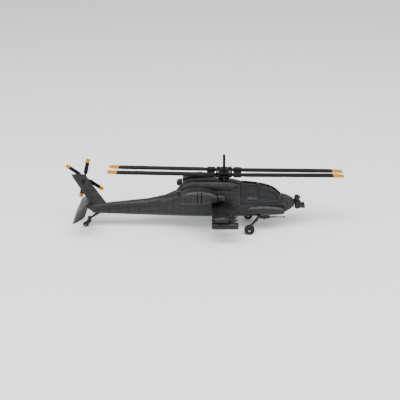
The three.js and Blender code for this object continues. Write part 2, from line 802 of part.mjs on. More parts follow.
// The fork's own frame has its castor axis at x = 0 and the ground at z = 0.
function tailFork() {
  const { bossBottom, bossTop, trail } = CASTOR;
  const { radius, half } = TAIL_WHEEL;
  const crownTop = bossBottom - GAP;
  const stem = rod([0, 0, crownTop - 0.4], [0, 0, bossTop - 0.8 - GAP], 0.9);
  const crown = box(-2.6, 1.6, -half - 1.2, half + 1.2, crownTop - 1.6, crownTop);
  const outline = [
    [1.6, crownTop],
    [-2.6, crownTop],
    [-trail - 1.2, radius + 0.8],
    [-trail - 1.2, radius - 1],
    [-trail + 1.2, radius - 1.2],
    [1.6, crownTop - 2],
  ];
  const tines = [
    plate(outline, half + GAP, half + 1.2),
    plate(outline, -half - 1.2, -half - GAP),
  ];
  const bore = rod([-trail, -REACH, radius], [-trail, REACH, radius], TAIL_PIN_RADIUS + GAP);
  return join(stem, crown, ...tines).subtract(bore);
}

function tailAxle() {
  const { radius, half } = TAIL_WHEEL;
  const pin = rod([-CASTOR.trail, -half - 1.5, radius], [-CASTOR.trail, half + 1.5, radius], TAIL_PIN_RADIUS);
  const heads = [1, -1].map((side) => {
    return rod([-CASTOR.trail, side * (half + 1.5), radius], [-CASTOR.trail, side * (half + 2), radius], 1.1);
  });
  return join(pin, ...heads);
}

// ---- Gun and sights ----

function gunTurret() {
  const top = BELLY_Z - GAP;
  const ring = rod([0, 0, top - 1.4], [0, 0, top], 4.6, 20);
  const cheeks = [1, -1].map((side) => {
    const y = [side * 2.1, side * 3].sort((a, b) => a - b);
    const outline = [
      [-3.4, top - 1],
      [3.4, top - 1],
      [1.6, GUN.z - 1.4],
      [-1.6, GUN.z - 1.4],
    ];
    return plate(outline, ...y);
  });
  return join(ring, ...cheeks);
}

function chainGun() {
  const rear = GUN.rear - GUN.x;
  const breech = GUN.breech - GUN.x;
  const muzzle = GUN.muzzle - GUN.x;
  const receiver = box(rear, breech, -1.5, 1.5, GUN.z - 1.6, GUN.z + 1.7);
  const sleeve = rod([breech - 1, 0, GUN.z], [breech + 5.5, 0, GUN.z], 1.2, 12, 0.9);
  const barrel = rod([breech + 4, 0, GUN.z], [muzzle - 1.6, 0, GUN.z], 0.6, 10);
  const brake = rod([muzzle - 2, 0, GUN.z], [muzzle, 0, GUN.z], 0.95, 10);
  const feed = box(rear + 1, rear + 4, -1, 1, GUN.z + 1.5, GUN.z + 2.8);
  return join(receiver, sleeve, barrel, brake, feed);
}

function sightBracket() {
  const { x, plateBottom, plateTop, pinRadius } = SIGHT;
  const high = NIGHT_SENSOR.x;
  const back = box(NOSE_FRONT_X + GAP, NOSE_FRONT_X + 1, -3.4, 3.4, 28.5, plateTop);
  const shelf = box(NOSE_FRONT_X + GAP, x + 2, -3.4, 3.4, plateBottom, plateTop);
  const lowPin = rod([x, 0, TARGET_SIGHT.top - 3], [x, 0, plateTop - 0.2], pinRadius);
  const highPin = rod([high, 0, plateBottom + 0.2], [high, 0, NIGHT_SENSOR.bottom + 2.6], pinRadius);
  return join(back, shelf, lowPin, highPin);
}

// In its own frame the turret turns about x = 0.
function targetSight() {
  const { bottom, top, radius, eyeZ, eyeY, eyeRadius, front } = TARGET_SIGHT;
  const drum = rod([0, 0, bottom], [0, 0, top], radius * 0.82, 16, radius);
  const eyes = [1, -1].map((side) => {
    const body = rod([1.5, side * eyeY, eyeZ], [front - SIGHT.x, side * eyeY, eyeZ], eyeRadius);
    const lens = rod([front - SIGHT.x - 0.8, side * eyeY, eyeZ], [REACH, side * eyeY, eyeZ], eyeRadius - 0.5);
    return body.subtract(lens);
  });
  const bore = rod([0, 0, top - 3.4], [0, 0, REACH], SIGHT.pinRadius + GAP);
  return join(drum, ...eyes).subtract(bore);
}

function nightSensor() {
  const { bottom, top, radius } = NIGHT_SENSOR;
  const profile = [
    [0, bottom],
    [radius * 0.8, bottom],
    [radius, bottom + 1.2],
    [radius, top - 2.4],
    [radius * 0.75, top - 0.8],
    [radius * 0.4, top - 0.1],
    [0, top],
  ];
  const drum = turned(profile, 16).rotate([90, 0, 0]);
  const eye = rod([0, 0, top - 3.2], [radius + 0.9, 0, top - 3.2], 1.5);
  const lens = rod([radius + 0.3, 0, top - 3.2], [REACH, 0, top - 3.2], 1.1);
  const bore = rod([0, 0, 0], [0, 0, bottom + 3], SIGHT.pinRadius + GAP);
  return drum.add(eye).subtract(join(lens, bore));
}

// ---- Main rotor, in its own frame with the shaft on x = y = 0 ----

function ring(radius, bore, bottom, top, sides) {
  const through = rod([0, 0, bottom - 1], [0, 0, top + 1], bore);
  return rod([0, 0, bottom], [0, 0, top], radius, sides).subtract(through);
}

function swashplate() {
  const { bottom, top, radius, linkRadius, linkTop } = SWASHPLATE;
  const disc = ring(radius, SHAFT_RADIUS + GAP, bottom, top, 20);
  const links = [0, 90, 180, 270].map((angle) => {
    const x = Math.cos(angle * DEGREE) * (radius - 0.8);
    const y = Math.sin(angle * DEGREE) * (radius - 0.8);
    return rod([x, y, top - 0.4], [x, y, linkTop], linkRadius, 6);
  });
  return join(disc, ...links);
}

// One upright rod at each of the four fold pins.
function atFoldPins(bottom, top, radius) {
  return BLADES.map((blade) => {
    const x = blade.x * PIN_OFFSET;
    const y = blade.y * PIN_OFFSET;
    return rod([x, y, bottom], [x, y, top], radius);
  });
}

function hubEars(bottom, top) {
  const { radius } = HUB_EAR;
  const pads = atFoldPins(bottom, top, radius);
  const reach = PIN_OFFSET * Math.SQRT2;
  const arms = [45, -45].map((angle) => {
    return box(-reach, reach, -radius * 0.8, radius * 0.8, bottom, top).rotate([0, 0, angle]);
  });
  return join(...pads, ...arms);
}

function rotorHub() {
  const core = rod([0, 0, HUB.bottom], [0, 0, HUB.top], HUB.radius, 20);
  const low = hubEars(HUB_EAR.lowBottom, HUB_EAR.lowTop);
  const high = hubEars(HUB_EAR.highBottom, HUB_EAR.highTop);
  const holes = atFoldPins(0, REACH, FOLD_PIN.radius + GAP);
  const bore = rod([0, 0, 0], [0, 0, REACH], SHAFT_RADIUS + GAP);
  return join(core, low, high).subtract(join(bore, ...holes));
}

function airDataMast() {
  const { bottom, flange, flangeTop, radius, top } = MAST_POST;
  const profile = [
    [0, bottom],
    [flange, bottom],
    [flange, flangeTop],
    [radius, flangeTop + 0.6],
    [radius, top - 1],
    [radius * 0.7, top - 0.3],
    [0, top],
  ];
  return turned(profile, PIN_SIDES).rotate([90, 0, 0]);
}

function foldPin() {
  const { radius, head, bottom, headBottom, top } = FOLD_PIN;
  return rod([0, 0, bottom], [0, 0, top], radius).add(rod([0, 0, headBottom], [0, 0, top], head));
}

// A blade in the frame of its fold pin, pointing along +X.
function mainBlade() {
  const { radius, half } = BLADE_LUG;
  const { start, end, thickHalf } = BLADE_GRIP;
  const lug = rod([0, 0, BLADE_Z - half], [0, 0, BLADE_Z + half], radius);
  const neck = box(0, end, -radius * 0.7, radius * 0.7, BLADE_Z - half, BLADE_Z + half);
  const grip = box(start, end, -BLADE_GRIP.half, BLADE_GRIP.half, BLADE_Z - thickHalf, BLADE_Z + thickHalf);
  const panel = loft(
    BLADE_STATIONS.map(([x, lead, trail, thick]) => {
      return ringAt(x, foil(lead, trail, thick).map(([y, dz]) => [y, BLADE_Z + dz]));
    }),
  );
  const bore = rod([0, 0, 0], [0, 0, REACH], FOLD_PIN.radius + GAP);
  return join(lug, neck, grip, panel).subtract(bore);
}

// ---- Tail rotor, in its own frame with the shaft on x = z = 0 ----

function tailShaft() {
  const { inner, outer, headLong } = TAIL_SHAFT;
  const pin = rod([0, inner, 0], [0, outer, 0], TAIL_ROTOR.shaft);
  const near = rod([0, inner, 0], [0, inner + headLong, 0], TAIL_ROTOR.head);
  const far = rod([0, outer - headLong, 0], [0, outer, 0], TAIL_ROTOR.head);
  return join(pin, near, far);
}

function tailBladePair(y) {
  const { radius, chord, hub, shaft } = TAIL_ROTOR;
  const disc = rod([0, y - TAIL_PAIR_HALF, 0], [0, y + TAIL_PAIR_HALF, 0], hub);
  const arm = box(-radius * 0.3, radius * 0.3, y - TAIL_PAIR_HALF, y + TAIL_PAIR_HALF, -1.1, 1.1);
  const blade = (side) => {
    return loft(
      [0.22, 0.32, 0.97, 1].map((share, i) => {
        const size = [0.5, 1, 1, 0.8][i];
        const outline = foil((chord / 2) * size, (-chord / 2) * size, TAIL_PAIR_HALF * 1.5);
        return outline.map(([z, dy]) => new THREE.Vector3(side * share * radius, y + dy, side * z));
      }),
    );
  };
  const bore = rod([0, 0, 0], [0, REACH, 0], shaft + GAP);
  return join(disc, arm, blade(1), blade(-1)).subtract(bore);
}

// ---- Stabilator, in its hinge's frame with the chord along x ----

function stabilator() {
  const { half, lead, trail, thick } = STABILATOR;
  const chordRing = (y, share) => {
    const outline = foil(lead - (1 - share) * 1.2, trail * share, thick * share);
    return outline.map(([x, z]) => new THREE.Vector3(x, y, z));
  };
  const panel = loft([chordRing(-half, 0.9), chordRing(0, 1), chordRing(half, 0.9)]);
  const notches = [1, -1].map((side) => {
    const y = [side * HINGE.knuckle, side * (HINGE.lugOuter + GAP)].sort((a, b) => a - b);
    return box(-HINGE.radius - 2 * GAP, REACH, ...y, -REACH, REACH);
  });
  const knuckle = rod([0, -HINGE.knuckle, 0], [0, HINGE.knuckle, 0], HINGE.radius);
  const boreEnd = HINGE.lugOuter + GAP;
  const bore = rod([0, -boreEnd, 0], [0, boreEnd, 0], HINGE.pin + GAP);
  return panel.subtract(join(...notches)).add(knuckle).subtract(bore);
}

// ---- Small hardware ----

function screw([, x, z, seat]) {
  const under = seat + GAP;
  const head = rod([x, under, z], [x, under + SCREW.headTall, z], SCREW.head);
  const shank = rod([x, SCREW.end, z], [x, under + 0.2, z], SCREW.shank);
  const y = under + SCREW.headTall;
  const cross = [
    box(x - 1, x + 1, y - 0.4, y + 1, z - 0.25, z + 0.25),
    box(x - 0.25, x + 0.25, y - 0.4, y + 1, z - 1, z + 1),
  ];
  return head.add(shank).subtract(join(...cross));
}

function standSocket() {
  const { x, inner, outer, flange, depth, flangeBottom, flangeTop } = SOCKET;
  const roof = BELLY_Z + depth + 1;
  const tube = box(x - outer, x + outer, -outer, outer, BELLY_Z, roof);
  const rim = box(x - flange, x + flange, -flange, flange, flangeBottom, flangeTop);
  const room = box(x - inner, x + inner, -inner, inner, 0, BELLY_Z + depth);
  return tube.add(rim).subtract(room);
}

// ---- Assembly ----

const model = new THREE.Group();
const airframe = new THREE.Group();
airframe.position.x = MAST_X;
model.add(airframe);

function put(parent, name, solid, look) {
  const { numProp, vertProperties, triVerts } = solid.getMesh();
  const geometry = new THREE.BufferGeometry();
  const place = new Float32Array((vertProperties.length / numProp) * 3);
  for (let i = 0; i < place.length / 3; i++) {
    place.set(vertProperties.subarray(i * numProp, i * numProp + 3), i * 3);
  }
  geometry.setAttribute("position", new THREE.BufferAttribute(place, 3));
  geometry.setIndex(new THREE.BufferAttribute(triVerts, 1));
  geometry.computeVertexNormals();
  const mesh = new THREE.Mesh(geometry, materials[look]);
  mesh.name = name;
  parent.add(mesh);
  return mesh;
}

function group(parent, x, y, z) {
  const made = new THREE.Group();
  made.position.set(x, y, z);
  parent.add(made);
  return made;
}

function addFuselage() {
  const whole = wholeFuselage();
  const port = box(-REACH, REACH, GAP / 2, REACH, 0, REACH);
  const starboard = box(-REACH, REACH, -REACH, -GAP / 2, 0, REACH);
  put(airframe, "fuselage_left_shell", whole.intersect(port), "paint");
  put(airframe, "fuselage_right_shell", whole.intersect(starboard), "paint");
  put(airframe, "rotor_deck_cowling", cowling(), "paint");
  put(airframe, "stand_socket", standSocket(), "plastic");
  SCREWS.forEach((place) => put(airframe, place[0], screw(place), "steel"));
}

function addCockpit() {
  put(airframe, "canopy_frame", canopyFrame(), "paint");
  put(airframe, "canopy_glass", canopyGlass(), "glass");
  put(airframe, "cockpit_tub", cockpitTub(), "plastic");
  SEATS.forEach((place) => put(airframe, place.name, seat(place), "plastic"));
  PANELS.forEach((place) => put(airframe, place.name, instrumentPanel(place), "plastic"));
}

function addSidePieces(side, name) {
  put(airframe, `engine_nacelle_${name}`, nacelle(side), "paint");
  put(airframe, `nose_gearbox_${name}`, noseGearbox(side), "paint");
  put(airframe, `exhaust_box_${name}`, exhaust(side), "paint");
  put(airframe, `avionics_bay_${name}`, avionicsBay(side), "paint");
  put(airframe, `stub_wing_${name}`, wing(side), "paint");
  put(airframe, `rocket_pod_${name}`, rocketPod(side), "plastic");
  put(airframe, `missile_rack_${name}`, missileRack(side), "plastic");
  put(airframe, `main_gear_leg_${name}`, mainLeg(side), "plastic");
  put(airframe, `main_axle_${name}`, mainAxle(side), "steel");
  const hub = group(airframe, GEAR.axleX, side * WHEEL.y, WHEEL.radius);
  put(hub, `main_wheel_${name}`, wheelSolid(WHEEL, AXLE_RADIUS + GAP, 20), "rubber");
}

function addTailGear() {
  put(airframe, "tail_strut", tailStrut(), "plastic");
  const castor = group(airframe, CASTOR.x, 0, 0);
  put(castor, "tail_fork", tailFork(), "plastic");
  put(castor, "tail_axle", tailAxle(), "steel");
  const hub = group(castor, -CASTOR.trail, 0, TAIL_WHEEL.radius);
  put(hub, "tail_wheel", wheelSolid(TAIL_WHEEL, TAIL_PIN_RADIUS + GAP, 16), "rubber");
}

function addGunAndSights() {
  const turret = group(airframe, GUN.x, 0, 0);
  put(turret, "gun_turret", gunTurret(), "plastic");
  put(turret, "chain_gun", chainGun(), "plastic");
  put(airframe, "sight_bracket", sightBracket(), "plastic");
  put(group(airframe, SIGHT.x, 0, 0), "target_sight_turret", targetSight(), "plastic");
  put(group(airframe, NIGHT_SENSOR.x, 0, 0), "night_sensor_turret", nightSensor(), "plastic");
}

function addMainRotor() {
  const rotor = group(airframe, 0, 0, 0);
  rotor.rotation.z = HUB.yaw * DEGREE;
  const { radius, bottom, top } = RETAINER;
  put(rotor, "rotor_shaft", rod([0, 0, SHAFT_BOTTOM_Z], [0, 0, HUB.top - GAP], SHAFT_RADIUS), "steel");
  put(rotor, "shaft_retainer", ring(radius, SHAFT_RADIUS + GAP, bottom, top, 16), "plastic");
  put(rotor, "swashplate", swashplate(), "rotor");
  put(rotor, "rotor_hub", rotorHub(), "rotor");
  put(rotor, "air_data_mast", airDataMast(), "rotor");
  BLADES.forEach(({ name, x, y, heading }) => {
    const pin = group(rotor, x * PIN_OFFSET, y * PIN_OFFSET, 0);
    put(pin, `blade_pin_${name}`, foldPin(), "steel");
    const fold = group(pin, 0, 0, 0);
    fold.rotation.z = (heading - HUB.yaw) * DEGREE;
    put(fold, `rotor_blade_${name}`, mainBlade(), "rotor");
  });
}

function addTailRotor() {
  const rotor = group(airframe, TAIL_ROTOR.x, 0, TAIL_ROTOR.z);
  put(rotor, "tail_rotor_shaft", tailShaft(), "steel");
  TAIL_PAIRS.forEach(({ name, y, angle }) => {
    const pair = group(rotor, 0, 0, 0);
    pair.rotation.y = -angle * DEGREE;
    put(pair, name, tailBladePair(y), "rotor");
  });
}

function addStabilator() {
  const { hingeX, hingeZ, droop } = STABILATOR;
  const { pin, pinHalf } = HINGE;
  const hinge = group(airframe, hingeX, 0, hingeZ);
  put(hinge, "stabilator_hinge_pin", rod([0, -pinHalf, 0], [0, pinHalf, 0], pin), "steel");
  const tilt = group(hinge, 0, 0, 0);
  tilt.rotation.y = -droop * DEGREE;
  put(tilt, "stabilator", stabilator(), "paint");
}

addFuselage();
addCockpit();
addSidePieces(1, "left");
addSidePieces(-1, "right");
addTailGear();
addGunAndSights();
addMainRotor();
addTailRotor();
addStabilator();

export default model;
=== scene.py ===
"""Looks of a die-cast attack helicopter model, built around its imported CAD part.

Detail is placed in millimetres from the rotor mast: x to the nose, y to port, z up from the ground.
Blender's own units are metres.
"""

import json
import math

import bmesh
import bpy
from mathutils import Matrix, Vector
from mathutils.bvhtree import BVHTree


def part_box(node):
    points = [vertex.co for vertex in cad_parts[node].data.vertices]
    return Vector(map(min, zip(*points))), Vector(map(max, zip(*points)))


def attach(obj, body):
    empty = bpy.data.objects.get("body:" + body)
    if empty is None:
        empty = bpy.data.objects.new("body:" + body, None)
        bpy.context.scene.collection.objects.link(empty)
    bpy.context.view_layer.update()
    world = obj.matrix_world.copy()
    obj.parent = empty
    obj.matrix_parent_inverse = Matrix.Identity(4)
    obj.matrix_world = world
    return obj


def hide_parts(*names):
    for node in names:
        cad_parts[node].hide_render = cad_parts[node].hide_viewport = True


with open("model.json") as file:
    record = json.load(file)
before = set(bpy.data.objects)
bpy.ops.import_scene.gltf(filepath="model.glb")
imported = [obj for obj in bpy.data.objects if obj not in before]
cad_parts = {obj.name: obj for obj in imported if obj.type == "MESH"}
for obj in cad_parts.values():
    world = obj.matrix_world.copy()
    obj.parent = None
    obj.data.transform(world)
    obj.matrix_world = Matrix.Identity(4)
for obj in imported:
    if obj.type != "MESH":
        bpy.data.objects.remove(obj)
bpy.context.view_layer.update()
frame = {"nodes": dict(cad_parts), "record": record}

MM = 0.001
X_AXIS, Y_AXIS, Z_AXIS = (1, 0, 0), (0, 1, 0), (0, 0, 1)
DOWN = (0, 0, -1)
SHAFT_LOW, SHAFT_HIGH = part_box("rotor_shaft")
MAST = Vector(((SHAFT_LOW.x + SHAFT_HIGH.x) / 2, 0, 0))
SIDES = (1, -1)
SIDE_NAMES = {1: "left", -1: "right"}


# ---- Materials ----

def new_material(name, **sockets):
    """A Principled material with the given values on the shader's own sockets."""
    material = bpy.data.materials.new(name)
    material.use_nodes = True
    shader = material.node_tree.nodes["Principled BSDF"]
    for socket, value in sockets.items():
        shader.inputs[socket.replace("_", " ")].default_value = value
    return material


def noise(material, scale, detail=2.0, stretch=(1, 1, 1)):
    """The Fac output of a noise that is fixed to the object; scale is in features per metre."""
    nodes, links = material.node_tree.nodes, material.node_tree.links
    coordinates = nodes.new("ShaderNodeTexCoord")
    mapping = nodes.new("ShaderNodeMapping")
    mapping.inputs["Scale"].default_value = stretch
    texture = nodes.new("ShaderNodeTexNoise")
    texture.inputs["Scale"].default_value = scale
    texture.inputs["Detail"].default_value = detail
    links.new(coordinates.outputs["Object"], mapping.inputs["Vector"])
    links.new(mapping.outputs["Vector"], texture.inputs["Vector"])
    return texture.outputs["Fac"]


def ramp(material, value, stops):
    """Maps a 0 to 1 value through colour stops of (position, colour)."""
    node = material.node_tree.nodes.new("ShaderNodeValToRGB")
    while len(node.color_ramp.elements) < len(stops):
        node.color_ramp.elements.new(0.5)
    for element, (position, color) in zip(node.color_ramp.elements, stops):
        element.position = position
        element.color = (*color, 1)
    material.node_tree.links.new(value, node.inputs["Fac"])
    return node.outputs["Color"]


def remap(material, value, low, high):
    """Maps a 0 to 1 value to the range low to high."""
    node = material.node_tree.nodes.new("ShaderNodeMapRange")
    node.inputs["To Min"].default_value = low
    node.inputs["To Max"].default_value = high
    material.node_tree.links.new(value, node.inputs["Value"])
    return node.outputs["Result"]


def set_socket(material, socket, value):
    shader = material.node_tree.nodes["Principled BSDF"]
    material.node_tree.links.new(value, shader.inputs[socket])


def add_bump(material, layers):
    """Stacks bumps, each (height value, depth in mm)."""
    nodes, links = material.node_tree.nodes, material.node_tree.links
    normal = None
    for height, depth in layers:
        bump = nodes.new("ShaderNodeBump")
        bump.inputs["Distance"].default_value = depth * MM
        links.new(height, bump.inputs["Height"])
        if normal:
            links.new(normal, bump.inputs["Normal"])
        normal = bump.outputs["Normal"]
    set_socket(material, "Normal", normal)


EDGE_SAMPLES = 4
# How closely the rounded and true normals agree on open surface and on a full edge
OPEN_SURFACE, FULL_EDGE = 0.995, 0.9


def edge_mask(material, radius):
    """1 on edges and corners and 0 on open surface, from how far a rounded normal leans off the true one."""
    nodes, links = material.node_tree.nodes, material.node_tree.links
    softened = nodes.new("ShaderNodeBevel")
    softened.samples = EDGE_SAMPLES
    softened.inputs["Radius"].default_value = radius * MM
    flat = nodes.new("ShaderNodeNewGeometry")
    dot = nodes.new("ShaderNodeVectorMath")
    dot.operation = "DOT_PRODUCT"
    links.new(softened.outputs["Normal"], dot.inputs[0])
    links.new(flat.outputs["Normal"], dot.inputs[1])
    node = nodes.new("ShaderNodeMapRange")
    node.inputs["From Min"].default_value = OPEN_SURFACE
    node.inputs["From Max"].default_value = FULL_EDGE
    links.new(dot.outputs["Value"], node.inputs["Value"])
    return node.outputs["Result"]


def mix_colors(material, factor, first, second):
    """Blends from first, a linked colour, to second, a plain one."""
    node = material.node_tree.nodes.new("ShaderNodeMix")
    node.data_type = "RGBA"
    node.inputs["B"].default_value = (*second, 1)
    links = material.node_tree.links
    links.new(factor, node.inputs["Factor"])
    links.new(first, node.inputs["A"])
    return node.outputs["Result"]


def multiply(material, first, second):
    node = material.node_tree.nodes.new("ShaderNodeMath")
    node.operation = "MULTIPLY"
    material.node_tree.links.new(first, node.inputs[0])
    material.node_tree.links.new(second, node.inputs[1])
    return node.outputs["Value"]


def shades(color, spread):
    """A darker and a lighter version of a colour."""
    return [tuple(c * (1 + s * spread) for c in color) for s in (-1, 1)]


# Noise scales in features per metre: slow tone change, worn patches, uneven gloss and dust
TONE_SCALE, WEAR_SCALE, GLOSS_SCALE, DUST_SCALE = 45, 260, 120, 3500
TWO_TONE_STOPS = (0.3, 0.7)
WORN_STOPS = (0.42, 0.62)
RUBBED_WIDTH = 0.35
GLOSSIER, DULLER = 0.07, 0.08


def two_tone(material, value, dark, light, stops=TWO_TONE_STOPS):
    """A colour that goes from dark to light between two stops of a 0 to 1 value."""
    return ramp(material, value, list(zip(stops, (dark, light))))


def moulded(name, color, roughness, grain=900, spread=0.14, relief=0.02, wear=0.0, bare=None, **sockets):
    """A painted or moulded surface: slow tone change, fine grain, uneven gloss and edges rubbed bare."""
    material = new_material(name, **sockets)
    tone = two_tone(material, noise(material, TONE_SCALE, 4), *shades(color, spread))
    if wear:
        worn = two_tone(material, noise(material, WEAR_SCALE, 5), (0, 0, 0), (wear,) * 3, WORN_STOPS)
        tone = mix_colors(material, multiply(material, edge_mask(material, RUBBED_WIDTH), worn), tone, bare)
    set_socket(material, "Base Color", tone)
    gloss = remap(material, noise(material, GLOSS_SCALE, 6), roughness - GLOSSIER, roughness + DULLER)
    set_socket(material, "Roughness", gloss)
    add_bump(material, [(noise(material, grain, 3), relief), (noise(material, DUST_SCALE), relief / 4)])
    return material


def tinted(name, tone, dark, light, gloss, smoothest, roughest, stops=TWO_TONE_STOPS, **sockets):
    """A surface whose colour and gloss both vary; tone and gloss are each a noise's (scale, detail)."""
    material = new_material(name, **sockets)
    set_socket(material, "Base Color", two_tone(material, noise(material, *tone), dark, light, stops))
    set_socket(material, "Roughness", remap(material, noise(material, *gloss), smoothest, roughest))
    return material


def tyre_rubber():
    material = tinted(
        "tyre_rubber", (150, 5), (0.006, 0.006, 0.006), (0.02, 0.019, 0.018), (400, 4), 0.68, 0.92,
        stops=(0.3, 0.75), Specular_IOR_Level=0.35,
    )
    add_bump(material, [(noise(material, 1600, 4), 0.03)])
    return material


def bright_steel():
    """Turned metal with long scratches that change its tone, gloss and surface."""
    material = new_material("bright_steel", Metallic=1.0)
    scratches = noise(material, 500, 4, stretch=(1, 1, 14))
    set_socket(material, "Base Color", two_tone(material, scratches, (0.16, 0.16, 0.17), (0.34, 0.34, 0.35)))
    set_socket(material, "Roughness", remap(material, scratches, 0.22, 0.42))
    add_bump(material, [(scratches, 0.008)])
    return material


CHARCOAL = (0.0125, 0.0122, 0.0118)
RUBBED_CHARCOAL = (0.12, 0.12, 0.12)
RUBBED_BLACK = (0.07, 0.07, 0.07)
RUBBED_YELLOW = (0.02, 0.018, 0.016)
PAINT = moulded(
    "charcoal_enamel", CHARCOAL, 0.42, grain=1100, relief=0.012, wear=0.5, bare=RUBBED_CHARCOAL,
    Specular_IOR_Level=0.26, Coat_Weight=0.06, Coat_Roughness=0.2,
)
MOULDING = moulded(
    "charcoal_plastic", CHARCOAL, 0.38, grain=1400, relief=0.012, wear=0.3, bare=RUBBED_CHARCOAL,
    Specular_IOR_Level=0.26, Coat_Weight=0.04, Coat_Roughness=0.25,
)
# Near-black: the own colour of panel lines, blade edge strips and rocket heads, and painted shade behind the
# vent slats and on the nacelle slot floors
DARK_LINE_AND_SHADE = moulded("dark_line_and_painted_shade", (0.0035, 0.0035, 0.0035), 0.7, Specular_IOR_Level=0.08)
BLACK = moulded(
    "black_plastic", (0.008, 0.0078, 0.008), 0.45, grain=1700, wear=0.35, bare=RUBBED_BLACK,
    Specular_IOR_Level=0.3,
)
ROTOR = moulded(
    "rotor_plastic", (0.0045, 0.004, 0.004), 0.48,
    Specular_IOR_Level=0.14, Coat_Weight=0.02, Coat_Roughness=0.2,
)
YELLOW = moulded(
    "tip_paint", (0.46, 0.2, 0.0008), 0.55, grain=1500, spread=0.08, wear=0.7, bare=RUBBED_YELLOW,
    Specular_IOR_Level=0.12,
)
# Thin smoked window plastic: part of what is behind it shows through, without bending
GLASS = tinted(
    "smoked_glass", (30, 2), (0.011, 0.012, 0.014), (0.017, 0.019, 0.022), (60, 4), 0.0, 0.03,
    IOR=1.49, Alpha=0.8, Coat_Weight=0.3, Coat_Roughness=0.02,
)
# Dark coated optics with a blue and violet cast
LENS = tinted(
    "lens_glass", (300, 2), (0.003, 0.004, 0.01), (0.013, 0.008, 0.02), (200, 2), 0.04, 0.09,
    IOR=1.5, Coat_Weight=0.4, Coat_Roughness=0.03,
)
RUBBER = tyre_rubber()
STEEL = bright_steel()

SLOT_MATERIALS = {
    "body_paint": PAINT,
    "body_moulding": MOULDING,
    "canopy_smoke": GLASS,
    "black_plastic": BLACK,
    "rotor_black": ROTOR,
    "tip_yellow": YELLOW,
    "tyre_rubber": RUBBER,
    "pin_steel": STEEL,
}


# ---- Shading and edges ----

def smooth_by_angle(limit):
    """A modifier that shades faces smooth across edges flatter than limit degrees."""
    tree = bpy.data.node_groups.new(f"smooth_{limit}", "GeometryNodeTree")
    for direction in ("INPUT", "OUTPUT"):
        tree.interface.new_socket("Geometry", in_out=direction, socket_type="NodeSocketGeometry")
    start = tree.nodes.new("NodeGroupInput")
    end = tree.nodes.new("NodeGroupOutput")
    faces = tree.nodes.new("GeometryNodeSetShadeSmooth")
    edges = tree.nodes.new("GeometryNodeSetShadeSmooth")
    edges.domain = "EDGE"
    angle = tree.nodes.new("GeometryNodeInputMeshEdgeAngle")
    compare = tree.nodes.new("FunctionNodeCompare")
    compare.operation = "LESS_THAN"
    compare.inputs["B"].default_value = math.radians(limit)
    tree.links.new(angle.outputs["Unsigned Angle"], compare.inputs["A"])
    tree.links.new(compare.outputs["Result"], edges.inputs["Shade Smooth"])
    tree.links.new(start.outputs["Geometry"], faces.inputs["Geometry"])
    tree.links.new(faces.outputs["Geometry"], edges.inputs["Geometry"])
    tree.links.new(edges.outputs["Geometry"], end.inputs["Geometry"])
    return tree


SMOOTH = smooth_by_angle(38)
BEVEL_FROM = math.radians(28)
WELD_REACH = 0.002
CAD_EDGE = 0.18


def finish_edges(thing, width, weld=False):
    """Rounds the sharp edges of a piece by width mm and shades it smooth between them."""
    if weld:
        thing.modifiers.new("weld", "WELD").merge_threshold = WELD_REACH * MM
    if width:
        bevel = thing.modifiers.new("bevel", "BEVEL")
        bevel.width = width * MM
        bevel.segments = 2
        bevel.limit_method = "ANGLE"
        bevel.angle_limit = BEVEL_FROM
        bevel.use_clamp_overlap = True
        bevel.harden_normals = False
    thing.modifiers.new("smooth", "NODES").node_group = SMOOTH


def finish_cad_nodes():
    """Gives each CAD node its slot's material and rounded edges."""
    slots = {part["node"]: part["material_slot"] for part in frame["record"]["subparts"]}
    for name, node in frame["nodes"].items():
        node.data.materials.clear()
        node.data.materials.append(SLOT_MATERIALS[slots[name]])
        finish_edges(node, CAD_EDGE, weld=True)


finish_cad_nodes()


# ---- Camera, floor and lights ----

# Millimetres from the mast
CAMERA_PLACE = (-7.3, -680.0, 407.8)
# Degrees
CAMERA_PITCH = 28.71
CAMERA_YAW = -1.72
CAMERA_ROLL = -1.0
# Millimetres
CAMERA_LENS = 60.47
CAMERA_SENSOR = 36
# Metres
CAMERA_RANGE = (0.01, 20)


def at(x, y, z):
    """A place in metres from millimetres counted from the mast."""
    return MAST + Vector((x, y, z)) * MM


def add_camera():
    pitch, yaw, roll = (math.radians(a) for a in (CAMERA_PITCH, CAMERA_YAW, CAMERA_ROLL))
    forward = Vector((math.sin(yaw) * math.cos(pitch), math.cos(yaw) * math.cos(pitch), -math.sin(pitch)))
    level = Vector((math.cos(yaw), -math.sin(yaw), 0))
    upright = level.cross(forward)
    right = level * math.cos(roll) + upright * math.sin(roll)
    up = upright * math.cos(roll) - level * math.sin(roll)
    camera = bpy.data.objects.new("camera", bpy.data.cameras.new("camera"))
    camera.data.lens = CAMERA_LENS
    camera.data.sensor_width = CAMERA_SENSOR
    camera.data.clip_start, camera.data.clip_end = CAMERA_RANGE
    rotation = Matrix((right, up, -forward)).transposed().to_4x4()
    camera.matrix_world = Matrix.Translation(at(*CAMERA_PLACE)) @ rotation
    bpy.context.collection.objects.link(camera)
    bpy.context.scene.camera = camera


def add_area(name, place, size, power):
    """A soft box of the given width and depth in metres, aimed at the model."""
    light = bpy.data.objects.new(name, bpy.data.lights.new(name, "AREA"))
    light.data.shape = "RECTANGLE"
    light.data.size, light.data.size_y = size
    light.data.energy = power
    light.location = place
    light.rotation_mode = "QUATERNION"
    light.rotation_quaternion = (MODEL_MIDDLE - Vector(place)).to_track_quat("-Z", "Y")
    bpy.context.collection.objects.link(light)


FLOOR_HALF = 4
FLOOR_COLOR = (0.93, 0.93, 0.93, 1)
FLOOR_ROUGHNESS = 0.8
SURROUND_COLOR = (0.95, 0.97, 1, 1)
SURROUND_STRENGTH = 0.85
MODEL_MIDDLE = Vector((0, 0, 0.04))
# Name, place in metres, width and depth, and watts
SOFT_BOXES = [
    ("overhead", (0, -0.45, 1.2), (2.0, 0.5), 28),
    ("left_fill", (-1.1, -0.8, 0.8), (0.5, 0.5), 4),
    ("right_fill", (1.1, -0.7, 0.8), (0.5, 0.5), 4),
]


